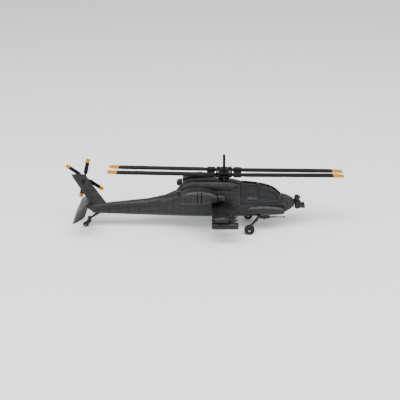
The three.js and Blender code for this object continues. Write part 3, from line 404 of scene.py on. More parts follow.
def add_studio():
    """A pale floor under a wide overhead soft box, two fills and a dim even surround."""
    mesh = bpy.data.meshes.new("floor")
    corners = [(x * FLOOR_HALF, y * FLOOR_HALF, 0) for x, y in ((-1, -1), (1, -1), (1, 1), (-1, 1))]
    mesh.from_pydata(corners, [], [(0, 1, 2, 3)])
    floor = bpy.data.objects.new("floor", mesh)
    bpy.context.collection.objects.link(floor)
    floor.data.materials.append(new_material("floor", Base_Color=FLOOR_COLOR, Roughness=FLOOR_ROUGHNESS))
    world = bpy.data.worlds.new("studio")
    world.use_nodes = True
    background = world.node_tree.nodes["Background"]
    background.inputs["Color"].default_value = SURROUND_COLOR
    background.inputs["Strength"].default_value = SURROUND_STRENGTH
    bpy.context.scene.world = world
    for box in SOFT_BOXES:
        add_area(*box)


add_camera()
add_studio()


# ---- Shapes, in millimetres from the mast ----

def bridge(mesh, lower, upper, closed=True):
    """Joins two rings of vertices with quads."""
    count = len(lower)
    for i in range(count if closed else count - 1):
        j = (i + 1) % count
        mesh.faces.new((lower[i], lower[j], upper[j], upper[i]))


def add_loft(mesh, rings, capped=True, looped=False):
    """A skin through rings with equal counts of points; looped joins the last ring to the first."""
    rows = [[mesh.verts.new(point) for point in ring] for ring in rings]
    for lower, upper in zip(rows, rows[1:]):
        bridge(mesh, lower, upper)
    if looped:
        bridge(mesh, rows[-1], rows[0])
    elif capped:
        mesh.faces.new(rows[0][::-1])
        mesh.faces.new(rows[-1])


def square_to(direction):
    """Two unit vectors square to a direction and to each other."""
    forward = Vector(direction).normalized()
    helper = Vector((0, 0, 1)) if abs(forward.z) < 0.9 else Vector((1, 0, 0))
    side = forward.cross(helper).normalized()
    return side, side.cross(forward)


def circle(centre, direction, radius, sides):
    """Points of a ring square to a direction."""
    side, up = square_to(direction)
    turns = [2 * math.pi * i / sides for i in range(sides)]
    return [Vector(centre) + side * radius * math.cos(a) + up * radius * math.sin(a) for a in turns]


def add_tube(mesh, points, radius, sides=12):
    """A round bar along a path; radius is one number, or one for each point."""
    path = [Vector(point) for point in points]
    radii = radius if isinstance(radius, (list, tuple)) else [radius] * len(path)
    rings = []
    for i, point in enumerate(path):
        ahead = path[min(i + 1, len(path) - 1)] - path[max(i - 1, 0)]
        rings.append(circle(point, ahead, radii[i], sides))
    add_loft(mesh, rings)


def turned_rings(origin, direction, profile, sides):
    """Rings about an axis from (distance along, radius) pairs."""
    forward = Vector(direction).normalized()
    return [circle(Vector(origin) + forward * along, forward, radius, sides) for along, radius in profile]


def add_turned(mesh, origin, direction, profile, sides=32):
    """A solid of revolution, capped at both ends."""
    add_loft(mesh, turned_rings(origin, direction, profile, sides))


def add_collar(mesh, origin, direction, profile, sides=32):
    """A closed hoop whose section is the loop of the profile."""
    add_loft(mesh, turned_rings(origin, direction, profile, sides), looped=True)


def add_band(mesh, centre, axis, reach, radii, sides):
    """A square-edged hoop; reach is its start and end along the axis, radii its bore and outside."""
    (start, end), (bore, outside) = reach, radii
    add_collar(mesh, centre, axis, [(start, bore), (start, outside), (end, outside), (end, bore)], sides)


def around(centre, axis, radius, count, first=0.0):
    """Evenly spaced (place, outward direction) pairs round an axis; first is in degrees."""
    across, up = (Vector(other) for other in (X_AXIS, Y_AXIS, Z_AXIS) if other != axis)
    pairs = []
    for i in range(count):
        a = math.radians(first) + 2 * math.pi * i / count
        lean = across * math.cos(a) + up * math.sin(a)
        pairs.append((Vector(centre) + lean * radius, lean))
    return pairs


def add_box(mesh, low, high):
    (x0, y0, z0), (x1, y1, z1) = low, high
    y0, y1 = sorted((y0, y1))
    corners = [(y0, z0), (y1, z0), (y1, z1), (y0, z1)]
    add_loft(mesh, [[(x, y, z) for y, z in corners] for x in (x0, x1)])


def add_plate(mesh, outline, thickness):
    """An outline of points pushed along the thickness vector."""
    push = Vector(thickness)
    add_loft(mesh, [[Vector(point) for point in outline], [Vector(point) + push for point in outline]])


def add_dome(mesh, centre, normal, radius, height, sides=8):
    """A round head with its foot sunk into the surface."""
    profile = [(-0.12, radius), (height * 0.45, radius * 0.92), (height, radius * 0.45)]
    add_turned(mesh, centre, normal, profile, sides)


def add_bolt(mesh, centre, normal, radius, height):
    """A six-sided head with its foot sunk into the surface."""
    add_turned(mesh, centre, normal, [(-0.15, radius), (height, radius)], 6)


def bolt_ring(mesh, centre, axis, radius, count, head, first=0.0, facing=None):
    """Bolts evenly round an axis, each head (radius, height); they face outwards unless told otherwise."""
    for place, lean in around(centre, axis, radius, count, first):
        add_bolt(mesh, place, facing or lean, *head)


def add_box_at(mesh, place, corners):
    """A box whose low and high corners are counted from a place."""
    add_box(mesh, *(Vector(place) + Vector(corner) for corner in corners))


def place_piece(mesh, name, material, body="airframe", edge=0.0, replaced=()):
    """Turns a shape into a piece that rides on a body, in the given material."""
    bmesh.ops.recalc_face_normals(mesh, faces=mesh.faces)
    bmesh.ops.scale(mesh, vec=(MM, MM, MM), verts=mesh.verts)
    bmesh.ops.translate(mesh, vec=MAST, verts=mesh.verts)
    data = bpy.data.meshes.new(name)
    mesh.to_mesh(data)
    mesh.free()
    piece = bpy.data.objects.new(name, data)
    bpy.context.collection.objects.link(piece)
    data.materials.append(material)
    finish_edges(piece, edge)
    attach(piece, body)
    if replaced:
        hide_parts(*replaced)


def place_skin_detail(name, seams, covers, rivets, material):
    """Places the panel lines, covers and rivets of one part of the airframe."""
    place_piece(seams, f"{name}_panel_lines", DARK_LINE_AND_SHADE)
    place_piece(covers, f"{name}_access_covers", material)
    place_piece(rivets, f"{name}_rivets", material)


# ---- Surface detail that follows the CAD skin ----

def skin_of(*names):
    """A search tree over CAD nodes, in millimetres from the mast."""
    points, faces = [], []
    for name in names:
        data = frame["nodes"][name].data
        offset = len(points)
        points += [(vertex.co - MAST) / MM for vertex in data.vertices]
        faces += [[offset + i for i in polygon.vertices] for polygon in data.polygons]
    return BVHTree.FromPolygons(points, faces)


def land(skin, start, direction):
    """Where a ray from start meets the skin, and the outward normal there, or None."""
    place, normal, _, _ = skin.ray_cast(Vector(start), Vector(direction).normalized())
    if place is None:
        return None
    return place, normal if normal.dot(Vector(direction)) < 0 else -normal


def resample(points, step, closed=False):
    """Evenly spaced places along straight legs, corners included."""
    path = [Vector(point) for point in points]
    if closed:
        path.append(path[0])
    spread = []
    for start, end in zip(path, path[1:]):
        count = max(1, round((end - start).length / step))
        spread += [start.lerp(end, i / count) for i in range(count)]
    return spread if closed else spread + [path[-1]]


# Beyond the model on every side, where rays to its skin start
FAR = 60.0
SEAM_STEP = 1.2
SEAM_WIDE = 0.36
SEAM_PROUD = 0.05
SEAM_SUNK = 0.12
# Width of a seam's top against its foot
SEAM_TAPER = 0.8


def add_seam(mesh, skin, points, direction, closed=False, wide=SEAM_WIDE, proud=SEAM_PROUD):
    """A fine strip on the skin, where the points land when they travel along direction."""
    hits = [land(skin, point, direction) for point in resample(points, SEAM_STEP, closed)]
    hits = [hit for hit in hits if hit]
    count = len(hits)
    rings = []
    for i, (place, normal) in enumerate(hits):
        before = hits[(i - 1) % count if closed else max(i - 1, 0)][0]
        after = hits[(i + 1) % count if closed else min(i + 1, count - 1)][0]
        across = (after - before).cross(normal).normalized() * wide / 2
        foot, top = place - normal * SEAM_SUNK, place + normal * proud
        rings.append([foot - across, top - across * SEAM_TAPER, top + across * SEAM_TAPER, foot + across])
    if count > 1:
        add_loft(mesh, rings, looped=closed)


RIVET_RADIUS = 0.2
RIVET_HEIGHT = 0.11
RIVET_GAP = 0.8


def add_rivets(mesh, skin, points, direction, spacing=1.9):
    """A row of small domes on the skin, evenly spaced along the points."""
    for point in resample(points, spacing):
        hit = land(skin, point, direction)
        if hit:
            add_dome(mesh, *hit, RIVET_RADIUS, RIVET_HEIGHT, 6)


def beside(starts, direction, gap):
    """The same start points, moved sideways off their line by gap."""
    along = Vector(starts[-1]) - Vector(starts[0])
    shift = along.cross(Vector(direction)).normalized() * gap
    return [Vector(start) + shift for start in starts]


def riveted_seam(seams, rivets, skin, starts, direction, gap, spacing=1.9):
    """A seam with a row of rivets beside it."""
    add_seam(seams, skin, starts, direction)
    add_rivets(rivets, skin, beside(starts, direction, gap), direction, spacing)


def rounded(centre, half_wide, half_tall, corner, steps=3):
    """The outline of a rounded rectangle as (across, up) pairs."""
    outline = []
    for turn, (sx, sy) in enumerate([(1, 1), (-1, 1), (-1, -1), (1, -1)]):
        for i in range(steps + 1):
            a = math.radians(90 * turn + 90 * i / steps)
            across = centre[0] + sx * (half_wide - corner) + corner * math.cos(a)
            up = centre[1] + sy * (half_tall - corner) + corner * math.sin(a)
            outline.append((across, up))
    return outline


# Rings of a cover from its rim to its middle, and the height of its chamfer against its face
HATCH_SHARES = (1.0, 0.94, 0.6, 0.25)
HATCH_CHAMFER = 0.6


def add_hatch(mesh, skin, outline, direction, proud=0.16):
    """A raised cover that follows the skin inside an outline of start points."""
    middle = sum((Vector(point) for point in outline), Vector()) / len(outline)
    rings = []
    for share in HATCH_SHARES:
        hits = [land(skin, middle.lerp(Vector(point), share), direction) for point in outline]
        if any(hit is None for hit in hits):
            return
        heights = [proud] if rings else [-SEAM_SUNK, proud * HATCH_CHAMFER]
        rings += [[place + normal * height for place, normal in hits] for height in heights]
    add_loft(mesh, rings)


def from_side(side, points):
    """Start points beside the model from (x, z) pairs."""
    return [(x, side * FAR, z) for x, z in points]


def from_above(points):
    """Start points over the model from (x, y) pairs."""
    return [(x, y, 2 * FAR) for x, y in points]


def side_cover(mesh, skin, side, centre, half_wide, half_tall, corner, proud=0.16):
    """A rounded cover on a side wall; centre is its x and z."""
    outline = from_side(side, rounded(centre, half_wide, half_tall, corner))
    add_hatch(mesh, skin, outline, (0, -side, 0), proud)


# ---- Airframe surface detail ----

# Roof line of the body and tail boom: x and z
ROOF_LINE = [
    (18, 51.4), (5, 52), (-25, 52), (-42, 50.4), (-49, 48.6), (-58, 45.2), (-66.5, 41.3),
    (-75, 39.4), (-88, 36.7), (-110, 34.4), (-133.6, 31.9), (-153.5, 29.6),
]
# Fin: z, leading edge x and trailing edge x at its foot and near its top
FIN_FOOT = (33.0, -136.9, -156.4)
FIN_HEAD = (66.5, -156.5, -172.8)
SHELLS = ("fuselage_left_shell", "fuselage_right_shell")
# x of the seams across the body and boom
FRAME_XS = (14, 7, -16, -30, -44, -58, -66.5, -75, -86, -98, -110, -122, -133)
BELLY_SEAM_Z = 23.6
# How far the seams across the body stop short of the roof line, and the height at which they start
ROOF_GAP = 0.5
BELLY_START = 19


def roof_at(x):
    """Height of the roof line at x."""
    for (x0, z0), (x1, z1) in zip(ROOF_LINE, ROOF_LINE[1:]):
        if x0 >= x >= x1:
            return z0 + (z1 - z0) * (x - x0) / (x1 - x0)
    return ROOF_LINE[-1][1]


def fin_at(z, share):
    """x on the fin at height z, where share runs from 0 at the leading edge to 1 at the trailing edge."""
    rise = (z - FIN_FOOT[0]) / (FIN_HEAD[0] - FIN_FOOT[0])
    lead = FIN_FOOT[1] + (FIN_HEAD[1] - FIN_FOOT[1]) * rise
    trail = FIN_FOOT[2] + (FIN_HEAD[2] - FIN_FOOT[2]) * rise
    return lead + (trail - lead) * share


# Along the body and boom: x and z
LONG_SEAMS = [
    [(18, BELLY_SEAM_Z), (-60, BELLY_SEAM_Z), (-150, BELLY_SEAM_Z)],
    [(-60, 36.2), (-75, 31.9), (-88, 30.6), (-110, 28.6), (-133, 26.6), (-151, 24.9)],
    [(72.5, 26.5), (72.5, 37.5)],
]
# Across the fin: z, and where each starts and ends as shares of the chord
FIN_SEAMS = [(40, 0.04, 0.96), (48.5, 0.04, 0.96), (57, 0.04, 0.96), (63.5, 0.05, 0.95)]
RUDDER_SHARE = 0.6


def side_lines():
    """Seam lines on each side of the body, boom and fin, as lists of (x, z)."""
    lines = [[(x, BELLY_START), (x, roof_at(x) - ROOF_GAP)] for x in FRAME_XS]
    lines += LONG_SEAMS
    lines.append([(fin_at(z, RUDDER_SHARE), z) for z in (FIN_FOOT[0], FIN_HEAD[0])])
    lines += [[(fin_at(z, share), z) for share in shares] for z, *shares in FIN_SEAMS]
    return lines


# Raised covers on each side: centre x and z, half width, half height, corner radius
SIDE_COVERS = [
    ((-19, 31), 6.2, 5.2, 1.2),
    ((-35.5, 31), 5.4, 5.2, 1.2),
    ((-51, 30), 4.6, 4.2, 1),
    ((12, 28.5), 3.4, 4, 1),
    ((-80.5, 26.4), 3.6, 2, 0.7),
    ((-104, 25.2), 3.8, 1.6, 0.6),
    ((-127.5, 24.2), 3.2, 1.2, 0.5),
    ((-3, 27), 3, 2.6, 0.8),
    ((75.6, 31), 1.6, 2.6, 0.6),
]
# z, share of the chord, half width and half height
FIN_COVERS = [(44.2, 0.3, 2.6, 2.6), (53, 0.3, 2.6, 3), (44.2, 0.8, 2, 2.8), (53, 0.8, 1.9, 3)]
# x, z and radius
FILLER_CAPS = [(-24.5, 39.6, 1.5), (4.5, 43.5, 1.2), (-69.5, 28.2, 1)]
# Seam on each side of the boom's back: x and y
BOOM_RAIL = [(-62, 1.5), (-88, 1.35), (-110, 1.2), (-131, 1.1)]
LATCH_PROFILE = [(0, 0.42), (0.24, 0.42), (0.3, 0.3)]
# Place of the latches as a share of a cover's half width, and their distance from its edge
LATCH_SHARE, LATCH_INSET = 0.55, 0.7
# How much smaller than a filler cap's radius its ring's bore and its lid are
CAP_BORE_STEP, CAP_LID_STEP = 0.3, 0.45
FIN_COVER_CORNER, FIN_COVER_PROUD = 0.6, 0.12
BOOM_RIVET_GAP = 0.6
# x of the short seams across the boom's back, and half their length
BOOM_RUNGS = range(-128, -60, 9)
RUNG_HALF = 1.4


def add_latches(mesh, skin, side, centre, half_wide, half_tall):
    """Two quarter-turn fasteners along the upper and lower edge of a cover."""
    for up in SIDES:
        for along in SIDES:
            x = centre[0] + along * half_wide * LATCH_SHARE
            z = centre[1] + up * (half_tall - LATCH_INSET)
            hit = land(skin, (x, side * FAR, z), (0, -side, 0))
            if hit:
                add_turned(mesh, *hit, LATCH_PROFILE, 10)


def add_filler_cap(mesh, skin, side, x, z, radius):
    """A round cap inside a raised ring."""
    place, normal = land(skin, (x, side * FAR, z), (0, -side, 0))
    lid = radius - CAP_LID_STEP
    add_band(mesh, place, normal, (-0.1, 0.3), (radius - CAP_BORE_STEP, radius), 20)
    add_turned(mesh, place, normal, [(-0.1, lid), (0.22, lid), (0.26, radius * 0.3)], 20)


def airframe_skin_detail():
    """Seams, covers and rivets on the two die-cast halves."""
    skin = skin_of(*SHELLS)
    seams, covers, rivets = bmesh.new(), bmesh.new(), bmesh.new()
    for side in SIDES:
        for line in side_lines():
            riveted_seam(seams, rivets, skin, from_side(side, line), (0, -side, 0), side * RIVET_GAP)
        for cover in SIDE_COVERS:
            side_cover(covers, skin, side, *cover)
            add_latches(covers, skin, side, *cover[:3])
        for z, share, half_wide, half_tall in FIN_COVERS:
            place = (fin_at(z, share), z)
            side_cover(covers, skin, side, place, half_wide, half_tall, FIN_COVER_CORNER, FIN_COVER_PROUD)
        for cap in FILLER_CAPS:
            add_filler_cap(covers, skin, side, *cap)
        add_seam(seams, skin, from_above([(x, side * y) for x, y in BOOM_RAIL]), DOWN)
        row = [(x, side * (y + BOOM_RIVET_GAP)) for x, y in BOOM_RAIL]
        add_rivets(rivets, skin, from_above(row), DOWN)
    for x in BOOM_RUNGS:
        add_seam(seams, skin, from_above([(x, -RUNG_HALF), (x, RUNG_HALF)]), DOWN)
    place_skin_detail("fuselage", seams, covers, rivets, PAINT)


# Doors and covers: centre x and z, half width and half height. Seams: x and z
BAY_DOORS = [
    ((31.6, 29.4), 2.7, 1.7), ((40.2, 28.4), 4.1, 3.9), ((50.4, 28.2), 4.6, 4.2), ((61, 27.4), 4.4, 3.7),
]
BAY_SEAMS = [
    [(35.2, 24), (35.2, 33)], [(45, 22.9), (45, 33.8)],
    [(55.8, 22.9), (55.8, 33)], [(66.2, 23.4), (66.2, 31)],
]
NACELLE_SEAMS = [
    [(-46, 50.4), (-31, 50.4)], [(-23.6, 50.4), (-9.5, 50.4)], [(-36.5, 43.6), (-36.5, 58.6)],
    [(-19.6, 43.6), (-19.6, 58)], [(-12.6, 44.4), (-12.6, 55)], [(-44, 44.4), (-44, 56)],
]
NACELLE_COVERS = [((-16, 47.2), 2.5, 1.8), ((-16, 54), 2.4, 2), ((-33, 54.6), 2.3, 2.2), ((-33, 47), 2.3, 2)]
COWLING_SEAMS = [[(x, 49.5), (x, 61)] for x in (12, 4, -6, -18, -30, -40)]
COWLING_SEAMS.append([(17, 54.4), (-20, 55.4), (-46, 51.5)])
COWLING_COVERS = [
    ((8, 57), 2.6, 1.3), ((-1, 58.4), 2.7, 1.4), ((-12, 58.6), 4.2, 1.3), ((-24, 58.4), 4, 1.3),
]
# CAD node with the side's name left open, seams, covers and how far the covers stand off the skin
FAIRINGS = [
    ("avionics_bay_{}", BAY_SEAMS, BAY_DOORS, 0.09),
    ("engine_nacelle_{}", NACELLE_SEAMS, NACELLE_COVERS, 0.16),
    ("rotor_deck_cowling", COWLING_SEAMS, COWLING_COVERS, 0.16),
]
# On top of the cowling: seam and rivet lines of each side as (x, y), cross seams and covers by x
DECK_SEAM = [(15, 4.4), (-20, 4.1), (-44, 2.8)]
DECK_RIVETS = [(15, 3.7), (-20, 3.4), (-44, 2.2)]
DECK_CROSS_SEAMS = (13, -7, -20, -34)
DECK_COVERS = (-11, -14.6, -25, -29)
# Half the length of a cross seam; half length, half width and corner radius of a cover
DECK_HALF = 7.5
DECK_COVER = (1.4, 2.4, 0.6)
DOOR_CORNER = 0.7
FAIRING_RIVET_SPACING = 1.6
GEARBOX_COVER = ((-4.2, 49.7), 1.9, 1.6, 0.4)
GEARBOX_SEAM = [(-6.6, 46.4), (-6.6, 53)]


def deck_top_detail(seams, covers, rivets):
    """Seams, covers and rivets on top of the cowling."""
    deck = skin_of("rotor_deck_cowling")
    for x in DECK_CROSS_SEAMS:
        add_seam(seams, deck, from_above([(x, -DECK_HALF), (x, DECK_HALF)]), DOWN)
    for side in SIDES:
        add_seam(seams, deck, from_above([(x, side * y) for x, y in DECK_SEAM]), DOWN)
        add_rivets(rivets, deck, from_above([(x, side * y) for x, y in DECK_RIVETS]), DOWN)
    for x in DECK_COVERS:
        add_hatch(covers, deck, from_above(rounded((x, 0), *DECK_COVER)), DOWN)


def fairing_detail():
    """Doors, seams and rivets on the plastic bays, nacelles, gearbox fairings and cowling."""
    seams, covers, rivets = bmesh.new(), bmesh.new(), bmesh.new()
    for side in SIDES:
        inward = (0, -side, 0)
        for node, lines, doors, proud in FAIRINGS:
            skin = skin_of(node.format(SIDE_NAMES[side]))
            for line in lines:
                starts = from_side(side, line)
                gap = side * RIVET_GAP
                riveted_seam(seams, rivets, skin, starts, inward, gap, FAIRING_RIVET_SPACING)
            for door in doors:
                side_cover(covers, skin, side, *door, DOOR_CORNER, proud)
                add_latches(covers, skin, side, *door)
        gearbox = skin_of(f"nose_gearbox_{SIDE_NAMES[side]}")
        side_cover(covers, gearbox, side, *GEARBOX_COVER)
        add_seam(seams, gearbox, from_side(side, GEARBOX_SEAM), inward)
    deck_top_detail(seams, covers, rivets)
    place_skin_detail("fairing", seams, covers, rivets, MOULDING)


# CAD nodes, ends of the first slat as (x, z), step to the next, count, width and height
VENTS = [
    (["engine_nacelle_{}"], [(-43, 45.6), (-38, 45.6)], (0, 0.95), 5, 0.6, 0.3),
    (["rotor_deck_cowling"], [(13.6, 54.9), (13.6, 57.1)], (1.05, 0), 4, 0.42, 0.34),
    (SHELLS, [(-10.4, 40.5), (-10.4, 43.5)], (1.16, 0), 6, 0.45, 0.3),
]
VENT_SHADE_CORNER = 0.4
# Painted shade behind the slats: CAD nodes, centre as (x, z), half width, half height and how far each
# stands off the skin
VENT_SHADE_PLATES = [
    (["rotor_deck_cowling"], (15.2, 56), 2, 1.3, 0.08),
    (SHELLS, (-7.5, 42), 3.6, 1.8, 0.06),
]


def louvres():
    """Slatted vents on the nacelles, cowling and body, each slat a strip that stands off the skin, with a
    near-black plate of painted shade behind the slats.
    """
    slats, dark = bmesh.new(), bmesh.new()
    for side in SIDES:
        for names, ends, (step_x, step_z), count, wide, proud in VENTS:
            skin = skin_of(*(name.format(SIDE_NAMES[side]) for name in names))
            for i in range(count):
                starts = from_side(side, [(x + i * step_x, z + i * step_z) for x, z in ends])
                add_seam(slats, skin, starts, (0, -side, 0), wide=wide, proud=proud)
        for names, centre, half_wide, half_tall, proud in VENT_SHADE_PLATES:
            side_cover(dark, skin_of(*names), side, centre, half_wide, half_tall, VENT_SHADE_CORNER, proud)
    place_piece(slats, "vent_slats", MOULDING)
    place_piece(dark, "vent_painted_shade", DARK_LINE_AND_SHADE)


# CAD node and both feet as (x, z)
HANDLES = [
    ("canopy_frame", (39, 38.6), (39, 43.4)),
    ("canopy_frame", (23.6, 41), (23.6, 46.5)),
    ("rotor_deck_cowling", (10.6, 53.6), (5, 53.6)),
]
HANDLE_REACH = 0.9
HANDLE_RADIUS = 0.22
HANDLE_SUNK = 0.3
# Height of a handle's shoulders as a share of its reach, and how far along its length its bends lie
HANDLE_SHOULDER, HANDLE_BEND = 0.7, 0.08
# x and z
CREW_STEPS = ((16.4, 33), (16.4, 24.5), (-12, 23))
STEP_SECTION = [(-1.1, 0.16), (1.1, 0.16), (1.1, -0.16), (-1.1, -0.16)]
STEP_SUNK, STEP_DEPTH = 0.2, 1.3
HOOK_START = (14.6, 53.2)
# Along x, outwards and up from where the hook starts
HOOK_PATH = [(0, -0.4, 0), (0, 0.9, 0.2), (-0.5, 1.2, 0.9), (-1.8, 1.1, 1.1)]
HOOK_RADII = [0.5, 0.5, 0.45, 0.35]


def grab_handle(mesh, side, node, first, second):
    """A thin bent rail with both feet on the skin."""
    starts = from_side(side, (first, second))
    (a, normal_a), (b, normal_b) = (land(skin_of(node), start, (0, -side, 0)) for start in starts)
    path = []
    for foot, other, normal in ((a, b, normal_a), (b, a, normal_b)):
        bend = foot.lerp(other, HANDLE_BEND) + normal * HANDLE_REACH
        shoulder = foot + normal * HANDLE_REACH * HANDLE_SHOULDER
        half = [foot - normal * HANDLE_SUNK, shoulder, bend]
        path += half[::-1] if path else half
    add_tube(mesh, path, HANDLE_RADIUS, 8)


def steps_and_handles():
    """Grab rails, crew steps and a hooked vent on each side."""
    mesh = bmesh.new()
    shells = skin_of(*SHELLS)
    deck = skin_of("rotor_deck_cowling")
    for side in SIDES:
        for handle in HANDLES:
            grab_handle(mesh, side, *handle)
        for start in from_side(side, CREW_STEPS):
            place, normal = land(shells, start, (0, -side, 0))
            base = place - normal * STEP_SUNK
            add_plate(mesh, [base + Vector((x, 0, z)) for x, z in STEP_SECTION], normal * STEP_DEPTH)
        hook = land(deck, *from_side(side, [HOOK_START]), (0, -side, 0))[0]
        add_tube(mesh, [hook + Vector((x, side * y, z)) for x, y, z in HOOK_PATH], HOOK_RADII, 10)
    place_piece(mesh, "steps_and_handles", BLACK)


# Height, and share of the lamp's radius
LAMP_PROFILE = ((-0.3, 1), (0.35, 0.95), (0.8, 0.6), (0.95, 0.2))
# CAD nodes, start and direction of the ray that finds the place, and radius
LAMPS = [
    (SHELLS, (-100, 0.3, 2 * FAR), (0, 0, -1), 0.9),
    (SHELLS, (-4 * FAR, 0.3, 60.6), (1, 0, 0), 0.6),
    (["stub_wing_left"], (-1, 45.6, 2 * FAR), (0, 0, -1), 0.8),
    (["stub_wing_right"], (-1, -45.6, 2 * FAR), (0, 0, -1), 0.8),
]


def lamps():
    """Low position lamps on the boom, the fin and the wing tips."""
    mesh = bmesh.new()
    for names, start, direction, radius in LAMPS:
        profile = [(along, radius * share) for along, share in LAMP_PROFILE]
        add_turned(mesh, *land(skin_of(*names), start, direction), profile, 16)
    place_piece(mesh, "lamps", LENS)


# ---- Canopy ----

# Seal outlines a little outside each window: x and z
WINDOW_SEALS = [
    [(39.9, 42.9), (52, 40.6), (61.3, 38.8), (62.9, 41.3), (57.3, 47.4), (50.2, 51.5), (39.9, 53.8)],
    [(26.1, 46.1), (38.1, 46.1), (38.1, 54), (26.1, 55.3)],
    [(26.1, 39.3), (38.1, 39.3), (38.1, 45.6), (26.1, 45.6)],
]
SILL_LINE = [(20.5, 37.3), (64, 37.3)]
# Bars on the frame: x and z
FRAME_BARS = ([(39.2, 37), (39.2, 55)], [(64.3, 37), (64.3, 41)])
HINGE_XS = (22.4, 36.4, 45, 55)
HINGE_Z = 38
HINGE_LENGTH, HINGE_RADIUS = 1.6, 0.42
HINGE_BOLT = (0.3, 0.5)
SILL_RIVET_SPACING = 1.7
# Width of each strip and how far it stands off the skin
SIDE_SEAL, ROOF_SEAL, BAR = (0.7, 0.2), (0.6, 0.18), (0.5, 0.1)
# Roof windows: rear x, front x and half width; the seal lies a little outside
ROOF_WINDOWS = ((22, 37.4, 3.6), (40.4, 51.6, 3.2), (53, 64.2, 3.2))
SEAL_GAP = 0.4
WIPER_ARM = [(65.2, 2.6, 41.7), (64.4, 2.4, 43.9), (61.6, 1.2, 46.6)]
WIPER_ARM_RADIUS, WIPER_BLADE_RADIUS = 0.2, 0.24
WIPER_BLADE = [(63.4, 0.2, 45), (59.8, 2.3, 48)]


def canopy_side(seals, rivets, fittings, skin, side):
    """Window seals, sill rivets, bars and hinges on one side of the canopy."""
    inward = (0, -side, 0)
    for outline in WINDOW_SEALS:
        add_seam(seals, skin, from_side(side, outline), inward, True, *SIDE_SEAL)
    add_rivets(rivets, skin, from_side(side, SILL_LINE), inward, SILL_RIVET_SPACING)
    for bar in FRAME_BARS:
        add_seam(fittings, skin, from_side(side, bar), inward, False, *BAR)
    for x in HINGE_XS:
        place, normal = land(skin, (x, side * FAR, HINGE_Z), inward)
        rear = place - Vector((HINGE_LENGTH / 2, 0, 0))
        add_turned(fittings, rear, X_AXIS, [(0, HINGE_RADIUS), (HINGE_LENGTH, HINGE_RADIUS)], 10)
        add_bolt(fittings, place + normal * 0.1, normal, *HINGE_BOLT)


def canopy_detail():
    """Seals, rivets, hinges and a wiper on the canopy frame."""
    skin = skin_of("canopy_frame")
    seals, rivets, fittings = bmesh.new(), bmesh.new(), bmesh.new()
    for side in SIDES:
        canopy_side(seals, rivets, fittings, skin, side)
    for x0, x1, half in ROOF_WINDOWS:
        low, high, wide = x0 - SEAL_GAP, x1 + SEAL_GAP, half + SEAL_GAP
        outline = from_above([(low, -wide), (high, -wide), (high, wide), (low, wide)])
        add_seam(seals, skin, outline, DOWN, True, *ROOF_SEAL)
    add_tube(fittings, WIPER_ARM, WIPER_ARM_RADIUS, 8)
    add_tube(fittings, WIPER_BLADE, WIPER_BLADE_RADIUS, 6)
    place_piece(seals, "window_seals", MOULDING)
    place_piece(rivets, "canopy_rivets", MOULDING)
    place_piece(fittings, "canopy_fittings", BLACK)


# x and top z of the front and rear panels, and y of the screens on each
PANELS = ((54.7, 39.4), (37.2, 44.4))
SCREEN_YS = (-2.6, 0.0, 2.6)
# Low and high corners, counted from a panel's x, a screen's y and the panel's top z
BEZEL = ((-0.35, -1.1, -3.6), (0.1, 1.1, -1.2))
SCREEN = ((-0.45, -0.8, -3.3), (-0.3, 0.8, -1.5))
HOOD = ((-0.3, -4.2, -0.3), (2.6, 4.2, 0.5))
# Side consoles: rear and front x, inner and outer y, underside and top z
CONSOLES = ((27.5, 37), (46, 54))
CONSOLE_YS, CONSOLE_ZS = (4.4, 5.6), (33, 34.4)
# Places of a console's knobs counted from its rear end, and their section
KNOB_XS, KNOB_Y, KNOB_Z = (1.5, 3.5, 5.5, 7.5), 5, 34.3
KNOB = [(0, 0.3), (0.5, 0.3)]


def cockpit_detail():
    """Screens, bezels, hoods and side consoles with knobs behind the glazing."""
    bezels, screens = bmesh.new(), bmesh.new()
    for x, top in PANELS:
        for y in SCREEN_YS:
            add_box_at(bezels, (x, y, top), BEZEL)
            add_box_at(screens, (x, y, top), SCREEN)
        add_box_at(bezels, (x, 0, top), HOOD)
    (inner, outer), (low, high) = CONSOLE_YS, CONSOLE_ZS
    for rear, front in CONSOLES:
        for side in SIDES:
            add_box(bezels, (rear, side * inner, low), (front, side * outer, high))
            for x in KNOB_XS:
                add_turned(bezels, (rear + x, side * KNOB_Y, KNOB_Z), Z_AXIS, KNOB, 8)
    place_piece(bezels, "cockpit_consoles", BLACK, edge=0.08)
    place_piece(screens, "cockpit_screens", LENS)


airframe_skin_detail()
fairing_detail()
louvres()
steps_and_handles()
lamps()
canopy_detail()
cockpit_detail()


# ---- Main rotor ----

# Each blade: side of its fold pin along x and y, and heading in degrees from the nose
BLADES = {
    "left_front": (1, 1, -1.95),
    "right_front": (1, -1, -1.15),
    "left_rear": (-1, 1, 176.6),
    "right_rear": (-1, -1, 177),
}
HUB_YAW = -2.3
PIN_OFFSET = 6.5
BLADE_Z = 71
PIN_HOLE = 1.2
BLADE_LEAD, BLADE_TRAIL = 4.2, -5.4
# Distance from the fold pin, leading edge, trailing edge, thickness
CUFF_STATIONS = [
    (8.6, 2, -2, 2.6), (11, 2.5, -2.7, 2.4), (15, 3.8, -4.6, 1.8), (18, BLADE_LEAD, BLADE_TRAIL, 1.35),
]
CUFF_END = 18
BAND_START = 114.8
MIDDLE_STATIONS = (30, 50, 70, 90, 108, BAND_START)
BLADE_THICK = 1.3
BLADE_THINNING = 0.15
TIP_STATIONS = [
    (BAND_START, BLADE_LEAD, BLADE_TRAIL, 1.15), (119, 3.7, -5.45, 1.1), (123.4, 2.7, -5.52, 1.0),
    (126.2, 1.5, -5.56, 0.9),
]
# Where the strip along the leading edge starts, bends and ends, and the share of the chord it covers
EDGE_STRIP = (22, 66, 110)
EDGE_STRIP_SHARE = 0.16
EDGE_STRIP_PROUD = 0.05
# x of the trim tabs, and the corners of each counted from it
TRIM_TABS = (84, 90)
TRIM_TAB = ((0, -5.3, -0.16), (5, -3.9, 0.2))
FOIL_STEPS = 10
TRAILING_EDGE_THICK = 0.16


